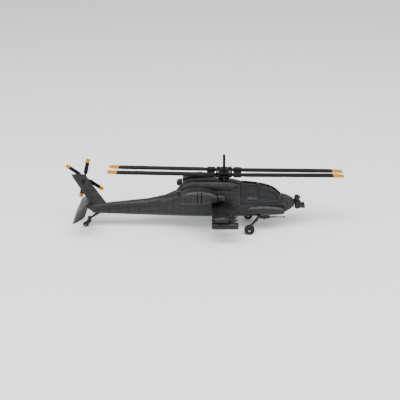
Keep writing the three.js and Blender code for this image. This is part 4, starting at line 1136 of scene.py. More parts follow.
# Thickness of a standard wing section along its chord: of the square root, then of each power
FOIL_ROOT = 2.969
FOIL_POWERS = (-1.26, -3.516, 2.843, -1.036)


def foil_half(share, thick):
    """Half the thickness of a section at a share of its chord."""
    shape = FOIL_ROOT * math.sqrt(share) + sum(c * share ** (n + 1) for n, c in enumerate(FOIL_POWERS))
    return max(shape * thick, TRAILING_EDGE_THICK * share) / 2


def foil_ring(out, lead, trail, thick, last=1.0, proud=0.0):
    """Section points of a blade in its own frame: x outwards, y to the leading edge."""
    shares = [last * (1 - math.cos(math.pi * i / FOIL_STEPS)) / 2 for i in range(FOIL_STEPS + 1)]
    upper, lower = [], []
    for share in shares:
        half = foil_half(share, thick) + proud
        y = lead + (trail - lead) * share + (proud if share == 0 else 0)
        upper.append(Vector((out, y, half)))
        lower.append(Vector((out, y, -half)))
    return upper + lower[::-1]


def to_blade(name):
    """The matrix from a blade's own frame to the model's, in millimetres."""
    side_x, side_y, heading = BLADES[name]
    hub_turn = Matrix.Rotation(math.radians(HUB_YAW), 4, "Z")
    pin = hub_turn @ Vector((side_x * PIN_OFFSET, side_y * PIN_OFFSET, BLADE_Z))
    return Matrix.Translation(pin) @ Matrix.Rotation(math.radians(heading), 4, "Z")


def spin(mesh, matrix):
    bmesh.ops.transform(mesh, matrix=matrix, verts=mesh.verts)


# Distance from the fold pin, half width and half height of the housing round each blade grip
HOUSING = [
    (3.4, 2, 1.3), (4.2, 3.1, 1.8), (5.2, 3.45, 1.95), (10, 3.45, 1.95), (11.8, 3.1, 1.7), (13.6, 2.4, 1.3),
]
HOUSING_HALF_WIDE, HOUSING_HALF_TALL = 3.45, 1.95
# Where each rib starts, and a rib's steps outwards with its height over the housing
RIBS = (5.6, 7, 8.4, 9.8)
RIB_SECTION = ((0, 0.02), (0.1, 0.2), (0.5, 0.2), (0.6, 0.02))
HOUSING_CORNER = 0.55
DAMPER_Y, DAMPER_Z = 2.3, 1.5
DAMPER = [(4.4, 0.5), (4.6, 0.8), (11.2, 0.8), (11.4, 0.55), (12.8, 0.5), (13, 0.2)]


def rounded_section(out, half_wide, half_tall):
    """A rounded rectangle square to a blade, at a distance from its pin."""
    corner = min(half_wide, half_tall) * HOUSING_CORNER
    return [Vector((out, y, z)) for y, z in rounded((0, 0), half_wide, half_tall, corner)]


def grip_housing(mesh):
    """The ribbed housing round a blade grip, with two dampers let into each side."""
    add_loft(mesh, [rounded_section(*station) for station in HOUSING])
    for out in RIBS:
        add_loft(mesh, [
            rounded_section(out + step, HOUSING_HALF_WIDE + lift, HOUSING_HALF_TALL + lift)
            for step, lift in RIB_SECTION
        ])
    for side in SIDES:
        for up in SIDES:
            add_turned(mesh, (0, side * DAMPER_Y, up * DAMPER_Z), X_AXIS, DAMPER, 16)


# x and y
STRAP_OUTLINE = [
    (2.2, -1.9), (2.2, 1.9), (6, 2.3), (14.5, 2.3), (16.5, 1.2), (16.5, -2.2), (14.5, -3), (6, -2.3),
]
STRAP_LOW, STRAP_HIGH = 0.45, 0.95
CUFF_BOLTS = ((11, 1), (11, -1.2), (13.8, 1), (13.8, -1.6))
CUFF_BOLT_Z, CUFF_BOLT = 0.8, (0.45, 0.55)
# Start and end along the pin, and outer radius
LUG_REACH, LUG_RADIUS = (-0.9, 0.9), 2.6
SHANK = ((2.3, -1.6, -0.5), (9, 1.6, 0.5))


def blade_root(mesh):
    """Lug round the fold pin, straps, cuff and the bolts through it."""
    add_band(mesh, (0, 0, 0), Z_AXIS, LUG_REACH, (PIN_HOLE, LUG_RADIUS), 36)
    for side in SIDES:
        outline = [(x, y, side * STRAP_LOW) for x, y in STRAP_OUTLINE]
        add_plate(mesh, outline, (0, 0, side * (STRAP_HIGH - STRAP_LOW)))
    add_box(mesh, *SHANK)
    grip_housing(mesh)
    for x, y in CUFF_BOLTS:
        for side in SIDES:
            add_bolt(mesh, (x, y, side * CUFF_BOLT_Z), (0, 0, side), *CUFF_BOLT)


def middle_station(out):
    """A station of the plain part of a blade, which thins out to the painted band."""
    thinned = BLADE_THINNING * (out - CUFF_END) / (BAND_START - CUFF_END)
    return out, BLADE_LEAD, BLADE_TRAIL, BLADE_THICK - thinned


def build_blade(name):
    """One main blade with its cuff, and the painted tip band as its own piece."""
    body = f"blade_{name}"
    black, yellow, strips = bmesh.new(), bmesh.new(), bmesh.new()
    blade_root(black)
    stations = CUFF_STATIONS + [middle_station(out) for out in MIDDLE_STATIONS]
    add_loft(black, [foil_ring(*station) for station in stations])
    add_loft(yellow, [foil_ring(*station) for station in TIP_STATIONS])
    edge = (BLADE_LEAD, BLADE_TRAIL, BLADE_THICK, EDGE_STRIP_SHARE, EDGE_STRIP_PROUD)
    add_loft(strips, [foil_ring(out, *edge) for out in EDGE_STRIP])
    for x in TRIM_TABS:
        add_box_at(strips, (x, 0, 0), TRIM_TAB)
    for mesh in (black, yellow, strips):
        spin(mesh, to_blade(name))
    place_piece(black, f"main_blade_{name}", ROTOR, body, edge=0.05, replaced=[f"rotor_blade_{name}"])
    place_piece(yellow, f"tip_band_{name}", YELLOW, body)
    place_piece(strips, f"edge_strip_{name}", DARK_LINE_AND_SHADE, body)


# Underside and top of the two hub plates, which hold the fold pins between them
HUB_PLATES = ((68.5, 69.75), (72.25, 73.5))
PLATE_RADIUS = 9.3
DRUM_RADIUS = 6.2
DRUM_WAIST = 5.9
PLATE_BORE = 4.2
PLATE_CHAMFER = 0.2
# Height and radius
DRUM = [
    (69.75, 4.1), (69.75, DRUM_RADIUS), (70.6, DRUM_RADIUS), (70.8, DRUM_WAIST),
    (71.2, DRUM_WAIST), (71.4, DRUM_RADIUS), (72.25, DRUM_RADIUS), (72.25, 4.1),
]
DECK_Z = HUB_PLATES[1][1]
# Rings of bolts: centre, axis, radius, count, head as (radius, height), first angle in degrees, direction
HUB_BOLTS = [
    ((0, 0, DECK_Z), Z_AXIS, 8.3, 4, (0.3, 0.35), -17, Z_AXIS),
    ((0, 0, DECK_Z), Z_AXIS, 8.3, 4, (0.3, 0.35), 17, Z_AXIS),
    ((0, 0, 74), Z_AXIS, 3.4, 8, (0.42, 0.45), 0, Z_AXIS),
    ((0, 0, 63.45), Z_AXIS, 6.05, 12, (0.25, 0.35)),
]
HOLES_RADIUS = 7.2
HOLE_RIM = [(-0.1, 1.0), (-0.1, 1.45), (0.18, 1.35), (0.18, 1.0)]


def hub_plates(mesh):
    """Two round plates over a drum, with the rims of four lightening holes between the fold pins."""
    for low, high in HUB_PLATES:
        waist = PLATE_RADIUS - PLATE_CHAMFER
        add_collar(mesh, (0, 0, 0), Z_AXIS, [
            (low, PLATE_BORE), (low, waist), (low + PLATE_CHAMFER, PLATE_RADIUS),
            (high - PLATE_CHAMFER, PLATE_RADIUS), (high, waist), (high, PLATE_BORE),
        ], 72)
    add_collar(mesh, (0, 0, 0), Z_AXIS, DRUM, 48)
    for place, _ in around((0, 0, DECK_Z), Z_AXIS, HOLES_RADIUS, 4):
        add_collar(mesh, place, Z_AXIS, HOLE_RIM, 24)


# Height and radius of the ribbed boot round the shaft, over its foot
BOOT_FOOT = (0, 0, 64.7)
BOOT = [(i / 4, 2.9 if i % 2 else 3.3) for i in range(6)] + [(1.5, 2.9), (1.5, 2.35), (0, 2.35)]
# Centre, axis, reach, bore and outer radius, sides
SWASHPLATE_BAND = ((0, 0, 63), Z_AXIS, (0, 0.9), (5.75, 6.15), 36)
LINK_RING_RADIUS = 5
# Height and radius of the ball joints on each control link, and the path of the horn above it
LINK_JOINTS = ((64.9, 0.75), (66.9, 0.6))
LINK_HORN = ((3.9, 1.2, 67.2), (4.9, 1.6, 67.6), (5.4, 0.6, 67.9), (4.4, -0.4, 67.7))


def hub_detail():
    """Plates, bolts, links and a ribbed boot on the main rotor head."""
    mesh, steel = bmesh.new(), bmesh.new()
    hub_plates(mesh)
    for ring in HUB_BOLTS:
        bolt_ring(steel, *ring)
    add_collar(mesh, BOOT_FOOT, Z_AXIS, BOOT, 32)
    add_band(mesh, *SWASHPLATE_BAND)
    for z, radius in LINK_JOINTS:
        for place, _ in around((0, 0, z), Z_AXIS, LINK_RING_RADIUS, 4):
            add_turned(steel, place, Z_AXIS, [(-0.3, radius), (0.3, radius)], 12)
    for i in range(4):
        bend = Matrix.Rotation(math.radians(90 * i), 3, "Z")
        add_tube(mesh, [bend @ Vector(point) for point in LINK_HORN], 0.3, 8)
    for part in (mesh, steel):
        spin(part, Matrix.Rotation(math.radians(HUB_YAW), 4, "Z"))
    place_piece(mesh, "rotor_head_fittings", ROTOR, "main_rotor", edge=0.05)
    place_piece(steel, "rotor_head_bolts", STEEL, "main_rotor")


# Height and radius
MAST_BANDS = ((77.4, 1.75), (82.6, 1.65), (87.4, 1.7))
MAST_BORE = 1.4
MAST_BOLTS = ((0, 0, 75.4), Z_AXIS, 2.1, 6, (0.3, 0.35), 15, Z_AXIS)


def mast_detail():
    """Bands on the slender post above the hub, and bolts round its foot."""
    mesh = bmesh.new()
    for z, radius in MAST_BANDS:
        add_band(mesh, (0, 0, z), Z_AXIS, (-0.35, 0.35), (MAST_BORE, radius), 28)
    bolt_ring(mesh, *MAST_BOLTS)
    place_piece(mesh, "mast_bands", ROTOR, "main_rotor", edge=0.04)


for blade in BLADES:
    build_blade(blade)
hub_detail()
mast_detail()


# ---- Tail rotor ----

TAIL_HUB = Vector((-160.4, 0, 60.4))
# Piece, CAD node, y of its middle, angle in degrees
TAIL_PAIRS = [("inner", "tail_rotor_inner_pair", 7.2, 75), ("outer", "tail_rotor_outer_pair", 8.9, 142)]
TAIL_RADIUS = 25.4
TAIL_BAND = 20.6
TAIL_HALF_CHORD = 2.3
TAIL_THICK = 1.05
# Distance from the hub, leading edge, trailing edge, thickness
TAIL_STATIONS = [
    (5, 1, -1, 1.1), (7.4, TAIL_HALF_CHORD, -TAIL_HALF_CHORD, TAIL_THICK),
    (TAIL_BAND, TAIL_HALF_CHORD, -TAIL_HALF_CHORD, TAIL_THICK),
]
TAIL_ENDS = [
    TAIL_STATIONS[-1], (24.6, TAIL_HALF_CHORD, -TAIL_HALF_CHORD, TAIL_THICK),
    (TAIL_RADIUS - 0.1, TAIL_HALF_CHORD * 0.8, -TAIL_HALF_CHORD * 0.8, 0.8),
]
TAIL_CAP_Y = -2.5
TAIL_CAP = [(0, 1.86), (0.4, 1.8), (0.62, 1.5), (0.7, 0.9)]
TAIL_CAP_BOLTS_Y = -3.12
# Axis, radius, count, head, first angle and direction
TAIL_CAP_BOLTS = (Y_AXIS, 1.2, 6, (0.22, 0.16), 0, (0, -1, 0))
# Start and end along the shaft, bore and outer radius of the lug in the middle of a pair
TAIL_LUG = ((-0.6, 0.6), (1.2, 2.6))
TAIL_SHANK = ((1.9, -1.1, -0.5), (8, 1.1, 0.5))
TAIL_BOLT_XS, TAIL_BOLT_Z, TAIL_BOLT = (4, 6.4), 0.4, (0.35, 0.24)


def merge_turned(part, whole, degrees):
    """Adds a part to a whole, turned about z."""
    bmesh.ops.recalc_face_normals(part, faces=part.faces)
    spin(part, Matrix.Rotation(math.radians(degrees), 4, "Z"))
    held = bpy.data.meshes.new("part")
    part.to_mesh(held)
    part.free()
    whole.from_mesh(held)
    bpy.data.meshes.remove(held)


def tail_pair(name, node, y, angle):
    """Two tail blades on one strap, with painted ends; made along x, then turned about y."""
    black, yellow = bmesh.new(), bmesh.new()
    add_band(black, (0, 0, 0), Z_AXIS, *TAIL_LUG, 28)
    for degrees in (0, 180):
        blade, tip = bmesh.new(), bmesh.new()
        add_loft(blade, [foil_ring(*station) for station in TAIL_STATIONS])
        add_box(blade, *TAIL_SHANK)
        for x in TAIL_BOLT_XS:
            add_bolt(blade, (x, 0, TAIL_BOLT_Z), Z_AXIS, *TAIL_BOLT)
        add_loft(tip, [foil_ring(*station) for station in TAIL_ENDS])
        merge_turned(blade, black, degrees)
        merge_turned(tip, yellow, degrees)
    lay_flat = Matrix.Rotation(math.radians(90), 4, "X")
    turn = Matrix.Translation(TAIL_HUB + Vector((0, y, 0))) @ Matrix.Rotation(math.radians(-angle), 4, "Y")
    for whole in (black, yellow):
        spin(whole, turn @ lay_flat)
    place_piece(black, f"tail_blades_{name}", ROTOR, "tail_rotor", edge=0.04, replaced=[node])
    place_piece(yellow, f"tail_tips_{name}", YELLOW, "tail_rotor")


def tail_shaft_cap():
    """A black cap with a ring of bolts over the bright end of the tail rotor shaft."""
    mesh = bmesh.new()
    foot = TAIL_HUB + Vector((0, TAIL_CAP_Y, 0))
    add_turned(mesh, foot, (0, -1, 0), TAIL_CAP, 32)
    add_band(mesh, foot, Y_AXIS, (0, 0.5), (1.72, 1.86), 32)
    bolt_ring(mesh, TAIL_HUB + Vector((0, TAIL_CAP_BOLTS_Y, 0)), *TAIL_CAP_BOLTS)
    place_piece(mesh, "tail_shaft_cap", ROTOR, "tail_rotor")


for pair in TAIL_PAIRS:
    tail_pair(*pair)
tail_shaft_cap()


# ---- Wheels ----

# Body, CAD node, centre, radius, half width, rim radius, bore and number of bolts
WHEELS = [
    ("wheel_left", "main_wheel_left", (29, 18.2, 6), 6, 2.1, 3.6, 1.05, 6),
    ("wheel_right", "main_wheel_right", (29, -18.2, 6), 6, 2.1, 3.6, 1.05, 6),
    ("rear_wheel", "tail_wheel", (-163, 0, 3.3), 3.3, 1.2, 1.9, 0.9, 4),
]
TREAD_GROOVE = 0.14
# Radius of a wheel bolt as a share of the tyre's, and height of its head
WHEEL_BOLT_SHARE, WHEEL_BOLT_HEIGHT = 0.05625, 0.25


def mirrored(profile):
    """The other half of a profile that is symmetric along its axis, in the order that closes the loop."""
    return [(-along, radius) for along, radius in profile[::-1]]


def tyre_profile(radius, half, rim):
    """The outer loop of a tyre section with round shoulders, sidewall lip and tread grooves."""
    floor = radius - TREAD_GROOVE
    left = [
        (half * 0.7, rim), (half * 0.86, rim + 0.25), (half * 0.97, (rim + radius) / 2),
        (half * 0.93, radius * 0.92), (half * 0.78, radius * 0.98), (half * 0.62, radius),
        (half * 0.5, radius), (half * 0.47, floor), (half * 0.38, floor), (half * 0.35, radius),
        (half * 0.06, radius), (half * 0.04, floor),
    ]
    return left + mirrored(left)


def rim_profile(half, rim, bore):
    """The loop of a dished rim, from the bore out and back."""
    left = [
        (-half * 0.68, bore), (-half * 0.68, bore + 0.5), (-half * 0.4, bore + 0.7),
        (-half * 0.4, rim - 0.7), (-half * 0.8, rim - 0.4), (-half * 0.8, rim + 0.04),
    ]
    return left + mirrored(left)


def build_wheel(body, node, centre, radius, half, rim, bore, bolts):
    """A grooved tyre on a dished rim with bolts on both faces."""
    tyre, hub = bmesh.new(), bmesh.new()
    add_collar(tyre, centre, Y_AXIS, tyre_profile(radius, half, rim), 56)
    add_collar(hub, centre, Y_AXIS, rim_profile(half, rim, bore), 40)
    for place, _ in around(centre, Y_AXIS, (bore + rim) / 2, bolts):
        for side in SIDES:
            outward = Vector((0, side, 0))
            seat = place + outward * half * 0.4
            add_bolt(hub, seat, outward, WHEEL_BOLT_SHARE * radius, WHEEL_BOLT_HEIGHT)
    place_piece(tyre, f"{node}_tyre", RUBBER, body, replaced=[node])
    place_piece(hub, f"{node}_rim", BLACK, body, edge=0.05)


# ---- Undercarriage ----

LEG_TOP = Vector((40, 12.4, 19.6))
LEG_FOOT = Vector((29, 14.1, 6))
# Share of the way down the leg, and radius
LEG_COLLARS = ((0.24, 1.75), (0.3, 1.75), (0.62, 1.6), (0.84, 1.6))
SLIDER_START, SLIDER_SHARE = 0.64, 0.18
LINK_ENDS = (0.62, 0.84)
PIPE_CLAMPS = (0.06, 0.3, 0.55, 0.8)
# x and z of the ends of each stay
FORK_REAR = ((-158.6, 7.6), (-161.4, 5.2))
STAY_Y, STAY_RADII = 2.3, [0.5, 0.45]
# x, y and z, and head as (radius, height)
FORK_BOLT_PLACE, FORK_BOLT = (-159.2, 2.35, 8.4), (0.45, 0.35)
# Centre, axis, reach, bore and outer radius, sides
FORK_COLLAR = ((-158, 0, 7.3), Z_AXIS, (0, 0.5), (0.9, 2.1), 24)
COLLAR_REACH, COLLAR_BORE = (-0.3, 0.3), 1.0
SLIDER_RADIUS = 1.36
# Off the leg's middle line, with y on the outer side, and off its foot
PIPE_OFFSET, PIPE_END, PIPE_RADIUS = (1.1, 1.1, 0.7), (0.5, 1.6, 2.2), 0.26
# Distance of the nut inboard of the leg's foot, and its section
NUT_Y, NUT = 1.9, [(0, 1.2), (0.35, 1.2), (0.5, 0.9)]
# Share of the way down the leg, distance behind it, half the length of the pin, and its radius
KNEE_SHARE, KNEE_REACH, KNEE_PIN_HALF, KNEE_PIN_RADIUS = 0.72, 2.4, 0.8, 0.55
LINK_REACH, LINK_RADII = 1.2, [0.45, 0.4]


def scissor_link(mesh, top, foot):
    """Two arms behind the leg that meet in a knee."""
    knee = top.lerp(foot, KNEE_SHARE) - Vector((KNEE_REACH, 0, 0))
    for share in LINK_ENDS:
        add_tube(mesh, [top.lerp(foot, share) - Vector((LINK_REACH, 0, 0)), knee], LINK_RADII, 10)
    half = Vector((0, KNEE_PIN_HALF, 0))
    add_tube(mesh, [knee - half, knee + half], KNEE_PIN_RADIUS, 12)


def leg_detail():
    """Collars, a slider, a scissor link, a brake pipe and a nut on each main leg."""
    mesh, steel = bmesh.new(), bmesh.new()
    for side in SIDES:
        top, foot = (Vector((p.x, side * p.y, p.z)) for p in (LEG_TOP, LEG_FOOT))
        along = foot - top
        for share, radius in LEG_COLLARS:
            add_band(mesh, top.lerp(foot, share), along, COLLAR_REACH, (COLLAR_BORE, radius), 24)
        slider = [(0, SLIDER_RADIUS), (along.length * SLIDER_SHARE, SLIDER_RADIUS)]
        add_turned(steel, top.lerp(foot, SLIDER_START), along, slider, 24)
        scissor_link(mesh, top, foot)
        offset, end = (Vector((x, side * y, z)) for x, y, z in (PIPE_OFFSET, PIPE_END))
        pipe = [top.lerp(foot, share) + offset for share in PIPE_CLAMPS]
        add_tube(mesh, pipe + [foot + end], PIPE_RADIUS, 8)
        add_turned(steel, foot - Vector((0, side * NUT_Y, 0)), (0, -side, 0), NUT, 6)
    place_piece(mesh, "leg_fittings", BLACK, edge=0.05)
    place_piece(steel, "leg_sliders", STEEL)


def castor_detail():
    """Stays, bolts and a collar on the tail wheel's fork."""
    fork = bmesh.new()
    for side in SIDES:
        add_tube(fork, [(x, side * STAY_Y, z) for x, z in FORK_REAR], STAY_RADII, 10)
        x, y, z = FORK_BOLT_PLACE
        add_bolt(fork, (x, side * y, z), (0, side, 0), *FORK_BOLT)
    add_band(fork, *FORK_COLLAR)
    place_piece(fork, "castor_fittings", BLACK, "castor", edge=0.04)


# ---- Stores ----

POD_Y = 41
POD_Z = 24.5
POD_RADIUS = 3.9
POD_SKIN_RADIUS = POD_RADIUS - 0.05
RACK_Y = 28
STORE_REAR = -14
STORE_FRONT = 15.6
TUBE_PITCH = 1.2
PYLON_FOOT = 28.8
STORE_TOP = PYLON_FOOT - 0.32
POD_BACK, POD_NOSE = STORE_REAR + 1.4, STORE_FRONT - 1.35
# Section of the pod's core as (x, radius)
POD_CORE = [(STORE_REAR + 1.3, POD_RADIUS - 1.3), (STORE_FRONT - 1.3, POD_RADIUS - 1)]
# Sections of a launch tube and a rocket's head ahead of POD_NOSE, and of a nozzle behind POD_BACK
TUBE = [(0, 0.36), (0, 0.53), (0.9, 0.53), (0.9, 0.4)]
ROCKET_HEAD = [(0, 0.34), (0.3, 0.3), (0.55, 0.1)]
NOZZLE = [(0, 0.34), (0, 0.47), (-0.8, 0.45), (-0.8, 0.34)]
# Spacing of the nozzles against the tubes'
NOZZLE_SPREAD = 0.88
# x of the lugs and of the two rings of rivets
POD_LUGS = (-4.6, 1.4)
POD_RIVETS = (-10.6, 10)
# How far a rivet is sunk into the pod, and its radius and height
POD_RIVET_SUNK, POD_RIVET = 0.06, (0.24, 0.12)
# Corners of a lug, counted from its x and the pod's middle line
POD_LUG = ((0, -0.6, POD_RADIUS - 0.3), (1.4, 0.6, STORE_TOP - POD_Z))


def hex_grid(pitch):
    """The 19 places of a hexagonal cluster, as (across, up) pairs."""
    spots = []
    for row in range(-2, 3):
        count = 5 - abs(row)
        for i in range(count):
            spots.append(((i - (count - 1) / 2) * pitch, row * pitch * math.sin(math.radians(60))))
    return spots


def raised_band(start, end, base, top):
    """Profile points of a band that stands off a tube."""
    return [(start, base), (start + 0.1, top), (end - 0.1, top), (end, base)]


def pod_profile():
    """The section of a pod's skin as (x, radius): banded outside, then back through the bore."""
    rear, front, r, skin = STORE_REAR, STORE_FRONT, POD_RADIUS, POD_SKIN_RADIUS
    tail = [(rear, r - 0.9), (rear + 0.3, r - 0.55), (rear + 3, skin)]
    bands = raised_band(-8, -7, skin, r) + raised_band(6, 7, skin, r)
    nose = [(12.4, skin), (12.5, r), (13.2, r), (13.3, r - 0.1), (front - 0.2, r - 0.45), (front, r - 0.6)]
    bore = [(front, r - 0.85), (front - 1.2, r - 0.9), (rear + 1.2, r - 1.2), (rear, r - 1.15)]
    return tail + bands + nose + bore


def add_launch_tube(tubes, heads, middle, y, z):
    """One tube of a pod, y and z off its middle, with a rocket's head in front and a nozzle behind."""
    front = middle + Vector((POD_NOSE, y, z))
    add_collar(tubes, front, X_AXIS, TUBE, 14)
    add_turned(heads, front, X_AXIS, ROCKET_HEAD, 10)
    rear = middle + Vector((POD_BACK, y * NOZZLE_SPREAD, z * NOZZLE_SPREAD))
    add_collar(tubes, rear, X_AXIS, NOZZLE, 12)


def build_pod(side):
    """A rocket pod: banded skin, open rims, and a cluster of launch tubes at each end."""
    skin, tubes, heads = bmesh.new(), bmesh.new(), bmesh.new()
    middle = Vector((0, side * POD_Y, POD_Z))
    add_collar(skin, middle, X_AXIS, pod_profile(), 56)
    add_turned(tubes, middle, X_AXIS, POD_CORE, 48)
    for y, z in hex_grid(TUBE_PITCH):
        add_launch_tube(tubes, heads, middle, y, z)
    for x in POD_LUGS:
        add_box_at(skin, middle + Vector((x, 0, 0)), POD_LUG)
    for x in POD_RIVETS:
        for place, lean in around(middle + Vector((x, 0, 0)), X_AXIS, POD_RADIUS - POD_RIVET_SUNK, 8):
            add_dome(skin, place, lean, *POD_RIVET)
    name = f"rocket_pod_{SIDE_NAMES[side]}"
    place_piece(skin, f"{name}_skin", BLACK, replaced=[name])
    place_piece(tubes, f"{name}_tubes", BLACK)
    place_piece(heads, f"{name}_heads", DARK_LINE_AND_SHADE)


MISSILE_RADIUS = 1.6
MISSILE_BAND_RADIUS = 1.66
# Rear and front x
MISSILE_BANDS = ((-9, -8.2), (3, 3.8), (10.9, 11.6))
SEEKER_START = 12.6
# x and radius
SEEKER = [(SEEKER_START, 1.5), (13.4, 1.44), (14.2, 1.2), (14.9, 0.82), (15.35, 0.42), (15.55, 0.12)]
FIN_TURNS = (45, 135, 225, 315)
FIN_HALF_THICK = 0.09
# Outline of a rear fin and of a canard: x and distance from the missile's axis
MISSILE_FINS = [
    [(-13.2, 1.5), (-8.6, 1.5), (-11.4, 2.45), (-13.2, 2.45)],
    [(6.4, 1.5), (9.4, 1.5), (7.6, 2.3), (6.8, 2.3)],
]


def missile_profile():
    """The section of a missile's body as (x, radius), from its boat tail to the seeker."""
    profile = [(STORE_REAR, 0.95), (STORE_REAR + 0.2, 1.25), (STORE_REAR + 1.2, MISSILE_RADIUS)]
    for rear, front in MISSILE_BANDS:
        profile += raised_band(rear, front, MISSILE_RADIUS, MISSILE_BAND_RADIUS)
    return profile + [(SEEKER_START, 1.55)]


def add_missile(body, seekers, y, z):
    """One guided missile with four rear fins, four canards and a glass seeker."""
    centre = Vector((0, y, z))
    add_turned(body, centre, X_AXIS, missile_profile(), 32)
    add_turned(seekers, centre, X_AXIS, SEEKER, 32)
    for turn in FIN_TURNS:
        a = math.radians(turn)
        out = Vector((0, math.cos(a), math.sin(a)))
        flat = Vector((0, -math.sin(a), math.cos(a))) * FIN_HALF_THICK
        for outline in MISSILE_FINS:
            points = [centre + Vector((x, 0, 0)) + out * reach - flat for x, reach in outline]
            add_plate(body, points, flat * 2)


RAIL_ZS = (21.9, 26.7)
ARM_XS = (-4.5, 3.3)
RAIL_OFFSETS = (-3.3, 3.3)
# Corners: the beam as (x, y off its middle, z), an arm counted from its x, the rack's y and the rail's z
BEAM = ((-7, -0.9, 21.2), (7, 0.9, STORE_TOP))
ARM = ((0, -1.9, -0.6), (1.4, 1.9, 0.6))
# Corners of a rail: x, y as a share of its missile's offset, and z off its middle
RAIL = ((-9.6, 0.36, -0.45), (9.2, 0.56, 0.45))
RACK_BOLT_Y, RACK_BOLT = 0.85, (0.32, 0.28)
RACK_BOLTS = [(x, z) for x in (-5.6, -1, 3.6) for z in (23.4, 25.2)]


def build_rack(side):
    """A four-rail launcher: beam, cross arms, rails and four missiles."""
    rack, missiles, seekers = bmesh.new(), bmesh.new(), bmesh.new()
    y = side * RACK_Y
    add_box_at(rack, (0, y, 0), BEAM)
    for z in RAIL_ZS:
        for x in ARM_XS:
            add_box_at(rack, (x, y, z), ARM)
        for offset in RAIL_OFFSETS:
            add_box(rack, *((x, y + offset * share, z + up) for x, share, up in RAIL))
            add_missile(missiles, seekers, y + offset, z)
    for x, z in RACK_BOLTS:
        for face in SIDES:
            add_bolt(rack, (x, y + face * RACK_BOLT_Y, z), (0, face, 0), *RACK_BOLT)
    name = f"missile_rack_{SIDE_NAMES[side]}"
    place_piece(rack, f"{name}_rails", BLACK, edge=0.08, replaced=[name])
    place_piece(missiles, f"{name}_missiles", BLACK)
    place_piece(seekers, f"{name}_seekers", LENS)


# ---- Wings and stabilator ----

# On each stub wing, as (x, y): flap and spar lines, then ribs by y, covers by y, and pylon bolts as (x, z)
WING_SPARS = [[(-9, 12.5), (-9, 46)], [(2.2, 12.5), (1.8, 46)]]
WING_RIBS = (17.5, 22.5, 33.5, 37, 44.8)
WING_COVERS = (19.9, 30.5, 41)
# Rear and front end of a rib; a cover's middle, half length, half width and corner radius, and its height
RIB_XS = (-13, 3.4)
WING_COVER, WING_COVER_PROUD = ((-3.4, 0), 2.8, 1.5, 0.6), 0.12
WING_BOLT = (0.34, 0.26)
WING_BOLTS = [(x, z) for x in (-7, -3, 1) for z in (30.6, 33.4)]
RIB_RIVET_GAP = 0.7
RIB_RIVET_SPACING = 1.7
# Where rays start over and under a wing, and which way they go
WING_FACES = ((FAR, DOWN), (0, Z_AXIS))


def wing_detail():
    """Flap line, ribs, covers and rivets on both faces of the stub wings, and bolts on the pylons."""
    seams, covers, rivets = bmesh.new(), bmesh.new(), bmesh.new()
    for side in SIDES:
        skin = skin_of(f"stub_wing_{SIDE_NAMES[side]}")
        for height, direction in WING_FACES:
            for line in WING_SPARS + [[(x, y) for x in RIB_XS] for y in WING_RIBS]:
                starts = [(x, side * y, height) for x, y in line]
                riveted_seam(seams, rivets, skin, starts, direction, side * RIB_RIVET_GAP, RIB_RIVET_SPACING)
        for y in WING_COVERS:
            outline = [(x, side * y + across, FAR) for x, across in rounded(*WING_COVER)]
            add_hatch(covers, skin, outline, DOWN, WING_COVER_PROUD)
        for start in from_side(side, WING_BOLTS):
            add_bolt(covers, *land(skin, start, (0, -side, 0)), *WING_BOLT)
    place_skin_detail("wing", seams, covers, rivets, MOULDING)


STABILATOR_HINGE = Vector((-158.1, 0, 29.4))
STABILATOR_DROOP = 32.5
# On each side of the stabilator in its own frame, as (x, y): spar lines, then ribs by y
STABILATOR_SPARS = [[(-12.6, 5.6), (-12.6, 30)], [(-3.4, 5.6), (-3.4, 30)]]
STABILATOR_RIBS = (6, 12, 18, 24, 29.4)
STABILATOR_CLEAR = 8


def stabilator_detail():
    """Rib and spar lines with rivets on both faces of the stabilator."""
    skin = skin_of("stabilator")
    seams, rivets = bmesh.new(), bmesh.new()
    tilt = Matrix.Rotation(math.radians(-STABILATOR_DROOP), 3, "Y")
    lines = STABILATOR_SPARS + [[(-0.6, y), (-16, y)] for y in STABILATOR_RIBS]
    for face in SIDES:
        direction = tilt @ Vector((0, 0, -face))
        for side in SIDES:
            for line in lines:
                flat = [Vector((x, side * y, face * STABILATOR_CLEAR)) for x, y in line]
                starts = [STABILATOR_HINGE + tilt @ point for point in flat]
                riveted_seam(seams, rivets, skin, starts, direction, RIB_RIVET_GAP, RIB_RIVET_SPACING)
    place_piece(seams, "stabilator_panel_lines", DARK_LINE_AND_SHADE, "tailplane")
    place_piece(rivets, "stabilator_rivets", MOULDING, "tailplane")


# ---- Gun and sights ----

GUN_Z = 12.4
# Opposite corners
RECEIVER_BLOCKS = [
    ((41.5, -1.3, 10.9), (53, 1.3, 13.9)), ((42.3, -1.5, 11.4), (51.6, 1.5, 13.3)),
    ((42.4, -0.95, 13.7), (45.8, 0.95, 15.1)),
]
# x of the ribs, and the corners of each counted from it
RECEIVER_RIB = ((0, -1.6, 11.2), (0.5, 1.6, 13.6))
RECEIVER_RIBS = (43.2, 45.4, 47.6, 49.8)
SPRING_START, SPRING_PITCH, SPRING_TURNS = 53.2, 0.62, 9
BRACE_END = 61.2
# x and radius
BARREL = ((52.6, 0.7), (58.9, 0.7), (59, 0.55), (70.2, 0.5))
MUZZLE_RINGS = (69.6, 70.3, 71)
# Reach along the barrel, and bore and outer radius
SPRING_COIL = ((0, 0.34), (0.5, 0.95))
BRACE_BAND = ((-0.4, 0.4), (0.5, 0.9))
MUZZLE_RING = ((0, 0.42), (0.42, 0.92))
BRACE_YS, BRACE_RADIUS = (1.15, 0.85), 0.28
# Rods between the muzzle rings: rear and front x, y and radius
ROD_XS, ROD_Y, ROD_RADIUS = (69.5, 71.4), 0.62, 0.2
